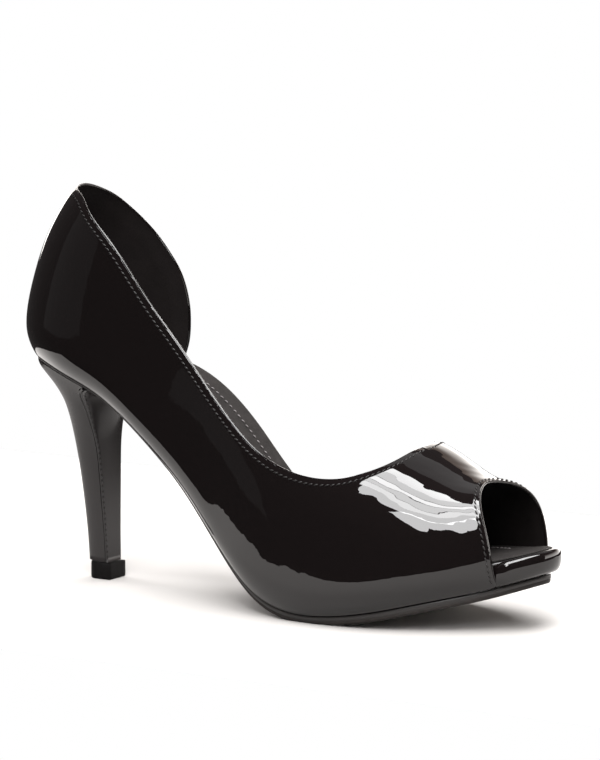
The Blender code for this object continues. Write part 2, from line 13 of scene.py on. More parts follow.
import bpy
import numpy as np
from mathutils import Matrix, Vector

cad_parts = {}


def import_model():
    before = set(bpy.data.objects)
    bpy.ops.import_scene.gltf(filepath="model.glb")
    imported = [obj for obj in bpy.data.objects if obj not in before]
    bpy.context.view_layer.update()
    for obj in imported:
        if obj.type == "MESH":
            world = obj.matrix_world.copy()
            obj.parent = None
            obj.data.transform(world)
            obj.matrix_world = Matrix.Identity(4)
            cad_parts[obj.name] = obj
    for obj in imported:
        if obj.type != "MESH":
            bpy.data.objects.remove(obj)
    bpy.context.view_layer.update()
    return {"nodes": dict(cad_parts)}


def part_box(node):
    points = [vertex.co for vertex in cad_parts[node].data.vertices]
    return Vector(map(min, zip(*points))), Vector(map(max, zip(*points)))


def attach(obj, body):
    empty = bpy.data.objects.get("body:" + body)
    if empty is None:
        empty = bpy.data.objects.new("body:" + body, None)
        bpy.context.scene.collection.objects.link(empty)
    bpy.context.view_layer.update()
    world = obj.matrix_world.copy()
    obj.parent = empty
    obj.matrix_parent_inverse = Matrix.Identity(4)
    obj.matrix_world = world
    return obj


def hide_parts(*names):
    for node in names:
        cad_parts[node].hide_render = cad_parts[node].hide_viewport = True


Array = np.ndarray
LOG = logging.getLogger("pump")
OUTER, INNER = -1, 1


@lru_cache(maxsize=None)
def bends(xs: tuple[float, ...], ys: tuple[float, ...]) -> Array:
    """Second slopes of a natural cubic spline at its rows."""
    step = np.diff(xs)
    matrix, right = np.eye(len(xs)), np.zeros(len(xs))
    inner = np.arange(1, len(xs) - 1)
    matrix[inner, inner - 1], matrix[inner, inner + 1] = step[:-1], step[1:]
    matrix[inner, inner] = 2 * (step[:-1] + step[1:])
    right[inner] = 6 * np.diff(np.diff(ys) / step)
    return np.linalg.solve(matrix, right)


def spline(xs: Array, ys: Array, at: Array) -> Array:
    """Natural cubic spline.

    Formula: on each span the bend is linear, and the bends solve the tridiagonal system that
    makes slopes meet.

    Args:
        xs: places of the rows, growing.
        ys: values at those places.
        at: where to read the curve.

    Returns:
        The values there, with the places clipped to the rows.
    """
    xs, ys = np.asarray(xs, float), np.asarray(ys, float)
    step, bend = np.diff(xs), bends(tuple(xs), tuple(ys))
    at = np.clip(np.asarray(at, float), xs[0], xs[-1])
    i = np.clip(np.searchsorted(xs, at) - 1, 0, len(xs) - 2)
    left, ahead, width = at - xs[i], xs[i + 1] - at, step[i]
    curve = (bend[i] * ahead**3 + bend[i + 1] * left**3) / (6 * width)
    line = (ys[i] / width - bend[i] * width / 6) * ahead
    return curve + line + (ys[i + 1] / width - bend[i + 1] * width / 6) * left


def turn(along: Array) -> Array:
    """The round coordinate, 0 at the back and 1 at the toe, in which both ends are smooth."""
    return np.arccos(np.clip(1 - 2 * np.asarray(along, float), -1, 1)) / np.pi


def along_of(turned: Array) -> Array:
    """The share of the length at a round coordinate."""
    return (1 - np.cos(np.pi * np.asarray(turned, float))) / 2


def fade(value: Array) -> Array:
    """Smooth step from 0 to 1: three squares less two cubes."""
    value = np.clip(value, 0, 1)
    return value * value * (3 - 2 * value)


def unit(vectors: Array) -> Array:
    """The vectors at length 1."""
    return vectors / np.maximum(np.linalg.norm(vectors, axis=-1, keepdims=True), 1e-12)


def crowded(count: int, first: float, last: float) -> Array:
    """Places from 0 to 1 that crowd towards the ends.

    Formula: a cubic whose slope is first at 0 and last at 1.

    Args:
        count: number of steps.
        first: slope at 0; under 1 crowds the places there.
        last: slope at 1.

    Returns:
        count + 1 growing places.
    """
    t = np.linspace(0, 1, count + 1)
    return first * t + (3 - 2 * first - last) * t**2 + (first + last - 2) * t**3


def arc_length(points: Array) -> Array:
    """Length along a line of points, from 0."""
    return np.concatenate([[0], np.cumsum(np.linalg.norm(np.diff(points, axis=0), axis=1))])


def patch(bottom: Array, top: Array, start: Array, end: Array, u: Array, v: Array) -> Array:
    """Coons patch between four edges that share corners.

    Formula: the two ruled surfaces added, less the surface through the corners.

    Args:
        bottom: edge at v = 0, one pair for each u.
        top: edge at v = 1.
        start: edge at u = 0, one pair for each v.
        end: edge at u = 1.
        u: places across, from 0 to 1.
        v: places up, from 0 to 1.

    Returns:
        A grid of pairs, u by v.
    """
    u, v = u[:, None, None], v[None, :, None]
    ruled = (1 - v) * bottom[:, None] + v * top[:, None]
    crossed = (1 - u) * start[None] + u * end[None]
    corners = (1 - u) * ((1 - v) * bottom[0] + v * top[0])
    corners = corners + u * ((1 - v) * bottom[-1] + v * top[-1])
    return ruled + crossed - corners


@dataclass(frozen=True)
class Table:
    """A table with named columns, a row for each section."""

    columns: tuple[str, ...]
    rows: tuple[tuple[float, ...], ...]

    def column(self, name: str) -> Array:
        """One column as an array."""
        return np.array(self.rows)[:, self.columns.index(name)]


# along is a share of the length, rise of the seat height, outer and inner of the ball breadth,
# crown of the crown height, full how flat the section's top is, bank of the bank lift.
SECTIONS = Table(
    ("along", "rise", "outer", "inner", "crown", "full", "bank"),
    (
        (0.00, 0.990, 0.000, 0.000, 0.98, 0.25, 0.0),
        (0.05, 0.978, 0.230, 0.230, 0.98, 0.25, 0.0),
        (0.12, 0.935, 0.325, 0.325, 0.98, 0.25, 0.0),
        (0.20, 0.852, 0.350, 0.365, 0.97, 0.25, 0.45),
        (0.28, 0.698, 0.355, 0.405, 0.94, 0.25, 0.95),
        (0.36, 0.512, 0.370, 0.415, 0.90, 0.25, 0.95),
        (0.44, 0.292, 0.418, 0.410, 0.84, 0.25, 0.70),
        (0.52, 0.110, 0.480, 0.415, 0.78, 0.25, 0.30),
        (0.60, 0.040, 0.515, 0.440, 0.73, 0.24, 0.0),
        (0.68, 0.045, 0.520, 0.480, 0.665, 0.20, 0.0),
        (0.76, 0.082, 0.490, 0.480, 0.592, 0.09, 0.0),
        (0.84, 0.134, 0.405, 0.430, 0.452, 0.06, 0.0),
        (0.92, 0.188, 0.270, 0.320, 0.385, 0.06, 0.0),
        (0.97, 0.231, 0.150, 0.210, 0.350, 0.06, 0.0),
        (1.00, 0.257, -0.040, 0.040, 0.330, 0.06, 0.0),
    ),
)

# Edges of the upper over the sole: along is a share of the length, height of the counter height.
TOPLINE = Table(
    ("along", "height"),
    (
        (0.00, 1.000),
        (0.04, 0.992),
        (0.08, 0.965),
        (0.15, 0.903),
        (0.21, 0.855),
        (0.27, 0.813),
        (0.32, 0.795),
        (0.37, 0.800),
        (0.44, 0.820),
        (0.50, 0.832),
        (0.56, 0.820),
        (0.625, 0.791),
        (0.66, 0.777),
        (0.693, 0.774),
        (0.722, 0.788),
        (0.745, 0.808),
        (0.759, 0.836),
    ),
)
COUNTER_EDGE = Table(
    ("along", "height"),
    (
        (0.000, 1.000),
        (0.025, 0.950),
        (0.060, 0.887),
        (0.100, 0.820),
        (0.140, 0.743),
        (0.175, 0.650),
        (0.200, 0.558),
        (0.217, 0.440),
        (0.224, 0.320),
        (0.224, 0.210),
        (0.217, 0.110),
        (0.206, 0.000),
    ),
)
# Back seam: height over the sole and forward lean, as shares of the counter height.
BACK_PROFILE = Table(
    ("height", "lean"),
    (
        (0.00, 0.034),
        (0.15, 0.000),
        (0.29, 0.010),
        (0.47, 0.057),
        (0.70, 0.145),
        (0.91, 0.270),
        (1.10, 0.420),
    ),
)
# level runs from the heel tip's top, 0, to the seat, 1. back, corner and front are shares of the
# heel tip's place, from its middle, and half of the ball breadth.
HEEL = Table(
    ("level", "back", "corner", "front", "half"),
    (
        (0.00, -0.213, 0.120, 0.120, 0.058),
        (0.12, -0.232, 0.112, 0.112, 0.062),
        (0.30, -0.276, 0.097, 0.099, 0.073),
        (0.50, -0.345, 0.080, 0.086, 0.086),
        (0.65, -0.416, 0.062, 0.082, 0.103),
        (0.78, -0.491, 0.044, 0.105, 0.140),
        (0.88, -0.591, 0.046, 0.180, 0.180),
        (0.95, -0.718, 0.086, 0.289, 0.225),
        (1.00, -0.902, 0.204, 0.431, 0.265),
    ),
)


@dataclass(frozen=True)
class Last:
    """The form that the shoe is made on. Its sizes are those of the solids in the frame."""

    place: Array
    length: float = 0.2395
    ball_breadth: float = 0.080
    seat_height: float = 0.089
    crown_height: float = 0.100
    bank_lift: float = 0.0100
    tuck_depth: float = 0.0045
    tuck_height: float = 0.015
    tuck_ease: float = 0.012
    side_fullness: float = 0.45
    counter_height: float = 0.068
    lean_reach: float = 0.45
    beyond_edge: float = 1.2

    def section(self, name: str, along: Array) -> Array:
        """One column of the sections, read along the shoe."""
        at, values = SECTIONS.column("along"), SECTIONS.column(name)
        if name in ("outer", "inner"):
            return spline(turn(at), values, turn(along))
        return spline(at, values, along)

    def back_lean(self, height: Array, along: Array) -> Array:
        """How far the counter leans forward at a height over the sole."""
        levels = BACK_PROFILE.column("height")
        share = np.clip(height / self.counter_height, 0, levels[-1])
        lean = self.counter_height * spline(levels, BACK_PROFILE.column("lean"), share)
        return lean * fade(1 - along / self.lean_reach)

    def sole_top(self, along: Array, across: Array) -> Array:
        """Height of the outsole's top, across running from 0, outer, to 1, inner."""
        rise = self.seat_height * self.section("rise", along)
        return rise + self.bank_lift * self.section("bank", along) * across

    def height_at(self, along: Array, share: Array) -> Array:
        """Height over the sole at a share of the way from the crown, 0, to the sole, 1."""
        angle = np.asarray(share, float) * np.pi / 2
        top = self.crown_height * self.section("crown", along)
        return top * np.cos(angle) * (1 + self.section("full", along) * np.sin(angle) ** 2)

    def share_at(self, along: Array, height: Array) -> Array:
        """The inverse of height_at, by halving."""
        low = np.zeros(np.broadcast(along, height).shape)
        high = np.ones_like(low)
        top = self.crown_height * self.section("crown", along)
        full = self.section("full", along)
        for _ in range(40):
            middle = (low + high) / 2
            angle = middle * np.pi / 2
            above = top * np.cos(angle) * (1 + full * np.sin(angle) ** 2) > height
            low, high = np.where(above, middle, low), np.where(above, high, middle)
        return (low + high) / 2

    def point(self, along: Array, around: Array) -> Array:
        """A point of the last.

        Formula: a half ellipse made fuller at its sides and top, tucked in above the sole and
        leaning forward at the counter.

        Args:
            along: share of the length.
            around: from -1 at the outer sole edge over 0 on the crown to 1 at the inner one.

        Returns:
            Points in space.
        """
        along, around = np.broadcast_arrays(np.asarray(along, float), np.asarray(around, float))
        outer = self.ball_breadth * self.section("outer", along)
        inner = self.ball_breadth * self.section("inner", along)
        middle, half = (inner - outer) / 2, (inner + outer) / 2
        angle = np.abs(around) * np.pi / 2
        side = np.sin(angle) * (1 + self.side_fullness * np.cos(angle) ** 2)
        height = self.height_at(along, np.abs(around))
        tuck = self.tuck_depth * half / np.hypot(half, self.tuck_ease)
        tuck = tuck * np.clip(1 - height / self.tuck_height, 0, 1) ** 3
        x = self.length * along + self.back_lean(height, along)
        y = middle + np.sign(around) * (half * side - tuck)
        z = self.sole_top(along, (1 + np.sin(around * np.pi / 2)) / 2) + height
        return np.stack([x, y, z], -1) + self.place

    def from_back(self, pairs: Array) -> Array:
        """Points for pairs of round coordinate, negative on the outer side, and share."""
        side = np.where(pairs[..., 0] < 0, -1.0, 1.0)
        return self.point(along_of(np.abs(pairs[..., 0])), side * pairs[..., 1])

    def from_toe(self, pairs: Array) -> Array:
        """Points for pairs of round coordinate and signed way around."""
        return self.point(along_of(pairs[..., 0]), pairs[..., 1])

    def table_edge(self, table: Table, rows: Array) -> Array:
        """Pairs along an edge that starts at the back seam, at places counted in rows."""
        order = np.arange(-1, len(table.rows))
        turned = turn(table.column("along"))
        heights = self.counter_height * table.column("height")
        around_back = spline(order, np.insert(turned, 0, -turned[1]), rows)
        height = spline(order, np.insert(heights, 0, heights[1]), rows)
        along = along_of(np.abs(around_back))
        height = np.clip(height, 0, self.height_at(along, 0.0))
        return np.stack([around_back, self.share_at(along, height)], -1)

    def even(self, pairs: Array, places: Array, where: Callable[[Array], Array]) -> Array:
        """A curve of pairs, resampled at shares of its length in space."""
        length = arc_length(where(pairs))
        wanted = places * length[-1]
        return np.stack([np.interp(wanted, length, pairs[:, k]) for k in (0, 1)], -1)

    def plan_edge(self, turned: Array, side: int, height: Array, inset: Array) -> Array:
        """Edge of the last in plan at a height over the sole, moved in by an inset."""
        step = 1e-3

        def wall(place: Array) -> Array:
            """The wall in plan at a round coordinate."""
            along = along_of(place)
            return self.point(along, side * self.share_at(along, height))[..., :2]

        ahead = unit(wall(turned + step) - wall(turned - step))
        inward = side * np.stack([ahead[..., 1], -ahead[..., 0]], -1)
        return wall(turned) + np.broadcast_to(inset, turned.shape)[:, None] * inward

    def sole_along(self, x: Array) -> Array:
        """Share of the length at x on the sole, which starts forward of the counter's back."""
        fine = np.linspace(0, 1, 801)
        starts = self.length * fine + self.back_lean(np.zeros_like(fine), fine)
        return np.interp(x - self.place[0], starts, fine)

    @cached_property
    def sole_edges(self) -> list[Array]:
        """The outer and the inner edge of the sole in plan."""
        turned = np.linspace(0.015, 0.985, 400)
        return [self.plan_edge(turned, side, 0.0, 0.0) for side in (OUTER, INNER)]

    def sole_z(self, x: Array, y: Array) -> Array:
        """Height of the outsole's top at any place in plan, a little beyond its edges too."""
        outer, inner = (np.interp(x, edge[:, 0], edge[:, 1]) for edge in self.sole_edges)
        across = (y - outer) / np.maximum(inner - outer, 0.004)
        return self.sole_top(self.sole_along(x), np.clip(across, 0, self.beyond_edge))


@dataclass
class Shape:
    """Points and quads of one piece, with a finish number for each quad."""

    points: Array = field(default_factory=lambda: np.zeros((0, 3)))
    quads: Array = field(default_factory=lambda: np.zeros((0, 4), int))
    finish: Array = field(default_factory=lambda: np.zeros(0, int))

    def add_grid(self, grid: Array, finish: int = 0, closed: bool = False) -> None:
        """Adds quads over a grid of points.

        Args:
            grid: rows by columns by 3.
            finish: number of the finish in the piece's list.
            closed: whether the last column joins the first.
        """
        rows, columns = grid.shape[:2]
        index = np.arange(rows * columns).reshape(rows, columns) + len(self.points)
        if closed:
            index = np.concatenate([index, index[:, :1]], axis=1)
        quads = np.stack([index[:-1, :-1], index[:-1, 1:], index[1:, 1:], index[1:, :-1]], -1)
        self.points = np.concatenate([self.points, grid.reshape(-1, 3)])
        self.quads = np.concatenate([self.quads, quads.reshape(-1, 4)])
        self.finish = np.concatenate([self.finish, np.full(quads.size // 4, finish)])

    def weld(self, distance: float = 2e-6) -> Array:
        """Merges points that round to the same place and drops quads that collapse.

        Args:
            distance: size of the cells that places are rounded to.

        Returns:
            For each old point, the number of the new one.
        """
        cells = np.round(self.points / distance).astype(np.int64)
        _, first, index = np.unique(cells, axis=0, return_index=True, return_inverse=True)
        index = index.reshape(-1)
        self.points, self.quads = self.points[first], index[self.quads]
        opposite = (self.quads[:, 0] == self.quads[:, 2]) | (self.quads[:, 1] == self.quads[:, 3])
        pinched = (self.quads == np.roll(self.quads, 1, axis=1)).sum(axis=1) > 1
        kept = ~(opposite | pinched)
        self.quads, self.finish = self.quads[kept], self.finish[kept]
        return index

    def normals(self) -> Array:
        """Unit normal at each point: the sum of the cross products of its quads' diagonals."""
        a, b, c, d = (self.points[self.quads[:, k]] for k in range(4))
        face = np.cross(c - a, d - b)
        total = np.zeros_like(self.points)
        for k in range(4):
            np.add.at(total, self.quads[:, k], face)
        return unit(total)

    def make(
        self, name: str, finishes: list[bpy.types.Material], slot: str, nodes: tuple[str, ...] = ()
    ) -> bpy.types.Object:
        """Turns the shape into an object that rides on the root body.

        Args:
            name: plain name of the piece.
            finishes: its materials, in the order of the finish numbers.
            slot: material slot of the record; not used.
            nodes: solids of the frame that it stands for.

        Returns:
            The object.
        """
        mesh = bpy.data.meshes.new(name)
        repeat = self.quads == np.roll(self.quads, -1, axis=1)
        counts = 4 - repeat.any(axis=1).astype(int)
        loops = self.quads[~(repeat & (np.cumsum(repeat, axis=1) == 1))]
        starts = np.concatenate([[0], np.cumsum(counts)[:-1]])
        mesh.vertices.add(len(self.points))
        mesh.vertices.foreach_set("co", self.points.astype(np.float32).ravel())
        mesh.loops.add(len(loops))
        mesh.loops.foreach_set("vertex_index", loops.astype(np.int32))
        mesh.polygons.add(len(counts))
        mesh.polygons.foreach_set("loop_start", starts.astype(np.int32))
        mesh.polygons.foreach_set("material_index", self.finish.astype(np.int32))
        mesh.update(calc_edges=True)
        mesh.validate()
        mesh.shade_smooth()
        for finish in finishes:
            mesh.materials.append(finish)
        piece = bpy.data.objects.new(name, mesh)
        bpy.context.scene.collection.objects.link(piece)
        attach(piece, "root")
        if nodes:
            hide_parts(*nodes)
        LOG.info("%s: %d points, %d faces", name, len(self.points), len(counts))
        return piece


@dataclass(frozen=True)
class Wave:
    """One layer of relief for a bump: a noise of a given size and depth."""

    size: float
    depth: float
    detail: float = 2.0


@dataclass(frozen=True)
class Finish:
    """A finish with gloss, a coat and relief from layers of noise."""

    name: str
    colour: tuple[float, float, float]
    roughness: float
    coat: float = 0.0
    coat_roughness: float = 0.03
    specular: float = 0.5
    waves: tuple[Wave, ...] = ()
    mottle: float = 0.0
    mottle_size: float = 0.01

    def make(self) -> bpy.types.Material:
        """Builds the node material.

        Formula: the heights of the waves are added, each a noise on Object coordinates times its
        depth, and drive one bump for the body and the coat.

        Returns:
            The material.
        """
        made = bpy.data.materials.new(self.name)
        made.use_nodes = True
        tree = made.node_tree
        shader = tree.nodes["Principled BSDF"]
        shader.inputs["Base Color"].default_value = (*self.colour, 1.0)
        shader.inputs["Roughness"].default_value = self.roughness
        shader.inputs["Specular IOR Level"].default_value = self.specular
        shader.inputs["Coat Weight"].default_value = self.coat
        shader.inputs["Coat Roughness"].default_value = self.coat_roughness
        place = tree.nodes.new("ShaderNodeTexCoord")
        if self.mottle:
            self._mottle(tree, shader, place)
        height = None
        for wave in self.waves:
            height = self._wave(tree, place, wave, height)
        if height is not None:
            bump = tree.nodes.new("ShaderNodeBump")
            bump.inputs["Strength"].default_value = 1.0
            bump.inputs["Distance"].default_value = 1.0
            tree.links.new(height, bump.inputs["Height"])
            tree.links.new(bump.outputs["Normal"], shader.inputs["Normal"])
            if self.coat:
                tree.links.new(bump.outputs["Normal"], shader.inputs["Coat Normal"])
        return made

    def _wave(
        self,
        tree: bpy.types.NodeTree,
        place: bpy.types.Node,
        wave: Wave,
        below: bpy.types.NodeSocket | None,
    ) -> bpy.types.NodeSocket:
        """Adds one layer of noise to the height.

        Args:
            tree: the material's node tree.
            place: node that gives Object coordinates.
            wave: size and depth of the layer.
            below: height of the layers so far, or None for the first.

        Returns:
            The new height.
        """
        noise = tree.nodes.new("ShaderNodeTexNoise")
        noise.inputs["Scale"].default_value = 1 / wave.size
        noise.inputs["Detail"].default_value = wave.detail
        deep = tree.nodes.new("ShaderNodeMath")
        deep.operation = "MULTIPLY_ADD"
        deep.inputs[1].default_value = wave.depth
        deep.inputs[2].default_value = 0.0
        tree.links.new(place.outputs["Object"], noise.inputs["Vector"])
        tree.links.new(noise.outputs["Fac"], deep.inputs[0])
        if below is not None:
            tree.links.new(below, deep.inputs[2])
        return deep.outputs["Value"]

    def _mottle(
        self, tree: bpy.types.NodeTree, shader: bpy.types.Node, place: bpy.types.Node
    ) -> None:
        """Varies the colour by a slow noise between a darker and a lighter tone.

        Args:
            tree: the material's node tree.
            shader: node whose base colour is varied.
            place: node that gives Object coordinates.
        """
        noise = tree.nodes.new("ShaderNodeTexNoise")
        noise.inputs["Scale"].default_value = 1 / self.mottle_size
        noise.inputs["Detail"].default_value = 4.0
        ramp = tree.nodes.new("ShaderNodeValToRGB")
        low, high = 1 - self.mottle, 1 + self.mottle
        ramp.color_ramp.elements[0].position = 0.3
        ramp.color_ramp.elements[0].color = (*(c * low for c in self.colour), 1.0)
        ramp.color_ramp.elements[1].position = 0.7
        ramp.color_ramp.elements[1].color = (*(c * high for c in self.colour), 1.0)
        tree.links.new(place.outputs["Object"], noise.inputs["Vector"])
        tree.links.new(noise.outputs["Fac"], ramp.inputs["Fac"])
        tree.links.new(ramp.outputs["Color"], shader.inputs["Base Color"])


class Finishes(Enum):
    """The finishes of this shoe."""

    PATENT = Finish(
        "patent_black",
        (0.0036, 0.0026, 0.0026),
        0.5,
        coat=1.0,
        coat_roughness=0.012,
        specular=0.0,
        waves=(
            Wave(0.020, 0.00020, 1.0),
            Wave(0.005, 0.000022, 1.0),
            Wave(0.0015, 0.000004, 1.0),
        ),
    )
    HEEL_PATENT = Finish(
        "patent_heel",
        (0.019, 0.017, 0.017),
        0.5,
        coat=0.42,
        coat_roughness=0.22,
        specular=0.0,
        waves=(Wave(0.010, 0.00006, 1.0), Wave(0.0014, 0.000004, 1.0)),
    )
    LINING = Finish(
        "lining_charcoal",
        (0.0055, 0.0042, 0.0041),
        0.62,
        specular=0.10,
        waves=(Wave(0.0007, 0.00005, 3.0), Wave(0.006, 0.0001, 1.0)),
        mottle=0.15,
    )
    SOCK = Finish(
        "sock_pebble",
        (0.014, 0.0125, 0.012),
        0.7,
        specular=0.1,
        waves=(Wave(0.0009, 0.00022, 2.0), Wave(0.008, 0.0002, 1.0)),
        mottle=0.2,
        mottle_size=0.004,
    )
    WRAP = Finish(
        "wrap_black",
        (0.012, 0.011, 0.011),
        0.35,
        coat=0.4,
        coat_roughness=0.15,
        waves=(Wave(0.0015, 0.00003, 2.0),),
    )
    SOLE_TOP_LAYER = Finish(
        "sole_edge_dark",
        (0.012, 0.010, 0.0095),
        0.42,
        waves=(Wave(0.0010, 0.00002, 2.0),),
    )
    SOLE_LOW_LAYER = Finish(
        "sole_edge_brown",
        (0.013, 0.0105, 0.0095),
        0.55,
        specular=0.25,
        waves=(Wave(0.0008, 0.00004, 3.0),),
        mottle=0.25,
        mottle_size=0.003,
    )
    THREAD = Finish(
        "thread_black",
        (0.010, 0.009, 0.009),
        0.45,
        specular=0.3,
        waves=(Wave(0.0002, 0.00002, 1.0),),
    )
    SOCK_THREAD = Finish("thread_grey", (0.11, 0.10, 0.10), 0.45, waves=(Wave(0.0002, 0.00002, 1.0),))
    TIP = Finish(
        "top_piece_black",
        (0.0050, 0.0045, 0.0045),
        0.6,
        specular=0.05,
        waves=(Wave(0.0006, 0.00004, 3.0),),
        mottle=0.2,
        mottle_size=0.002,
    )

    @lru_cache(maxsize=None)
    def material(self) -> bpy.types.Material:
        """The material of this finish, made once."""
        return self.value.make()


@dataclass
class Seam:
    """A row of stitches along a line on a surface."""

    points: Array
    normals: Array
    pitch: float = 0.0023
    length: float = 0.0019
    thick: float = 0.00036
    proud: float = 0.00008
    slant: float = 0.28
    around: int = 6
    rings: int = 6

    def shape(self) -> Shape:
        """All stitches as one shape.

        Formula: each is a spindle of round rings, whose radius follows the square root of a
        sine, laid along the line and sunk a little at its ends.

        Returns:
            The stitches, with all quads turned outwards.
        """
        length = arc_length(self.points)
        count = max(int(length[-1] / self.pitch), 1)
        middle = (np.arange(count) + 0.5) * length[-1] / count

        def at(values: Array, places: Array) -> Array:
            """Reads a curve at lengths along it."""
            return np.stack([np.interp(places, length, values[:, k]) for k in range(3)], -1)

        t = np.linspace(0, 1, self.rings)
        angle = np.linspace(0, 2 * np.pi, self.around, endpoint=False)
        radius = self.thick * np.sqrt(np.sin(np.pi * np.clip(t, 0.02, 0.98)))
        places = middle[:, None] + (t[None] - 0.5) * self.length
        spine = at(self.points, places.ravel()).reshape(count, self.rings, 3)
        up = unit(at(self.normals, places.ravel()).reshape(count, self.rings, 3))
        ahead = unit(at(self.points, middle + 1e-4) - at(self.points, middle - 1e-4))[:, None]
        side = unit(np.cross(up, np.broadcast_to(ahead, up.shape)))
        arch = (self.proud * np.sin(np.pi * t))[None, :, None]
        spine = spine + up * arch + side * (self.slant * self.length * (t - 0.5))[None, :, None]
        ring = radius[None, :, None, None] * (
            np.cos(angle)[None, None, :, None] * side[:, :, None]
            + np.sin(angle)[None, None, :, None] * up[:, :, None] * 0.8
        )
        grid = spine[:, :, None] + ring
        made = Shape()
        index = np.arange(count * self.rings * self.around).reshape(count, self.rings, self.around)
        index = np.concatenate([index, index[:, :, :1]], axis=2)
        quads = np.stack([index[:, :-1, :-1], index[:, :-1, 1:], index[:, 1:, 1:], index[:, 1:, :-1]], -1)
        caps = []
        for ring_index, turned in ((0, 1), (self.rings - 1, -1)):
            ends = index[:, ring_index, :-1]
            for k in range(1, self.around // 2):
                cap = np.stack([ends[:, k - 1], ends[:, k], ends[:, -k - 1], ends[:, -k]], -1)
                caps.append(cap[:, ::-turned] if turned == -1 else cap)
        made.points = grid.reshape(-1, 3)
        made.quads = np.concatenate([quads.reshape(-1, 4), *caps])
        if np.einsum("ij,ij->i", *_outward_pair(made)).sum() < 0:
            made.quads = made.quads[:, ::-1]
        made.finish = np.zeros(len(made.quads), int)
        return made


def _outward_pair(shape: Shape) -> tuple[Array, Array]:
    """The centre and the area vector of each quad, whose products add up to three volumes."""
    a, b, c, d = (shape.points[shape.quads[:, k]] for k in range(4))
    return (a + b + c + d) / 4, np.cross(c - a, d - b) / 2


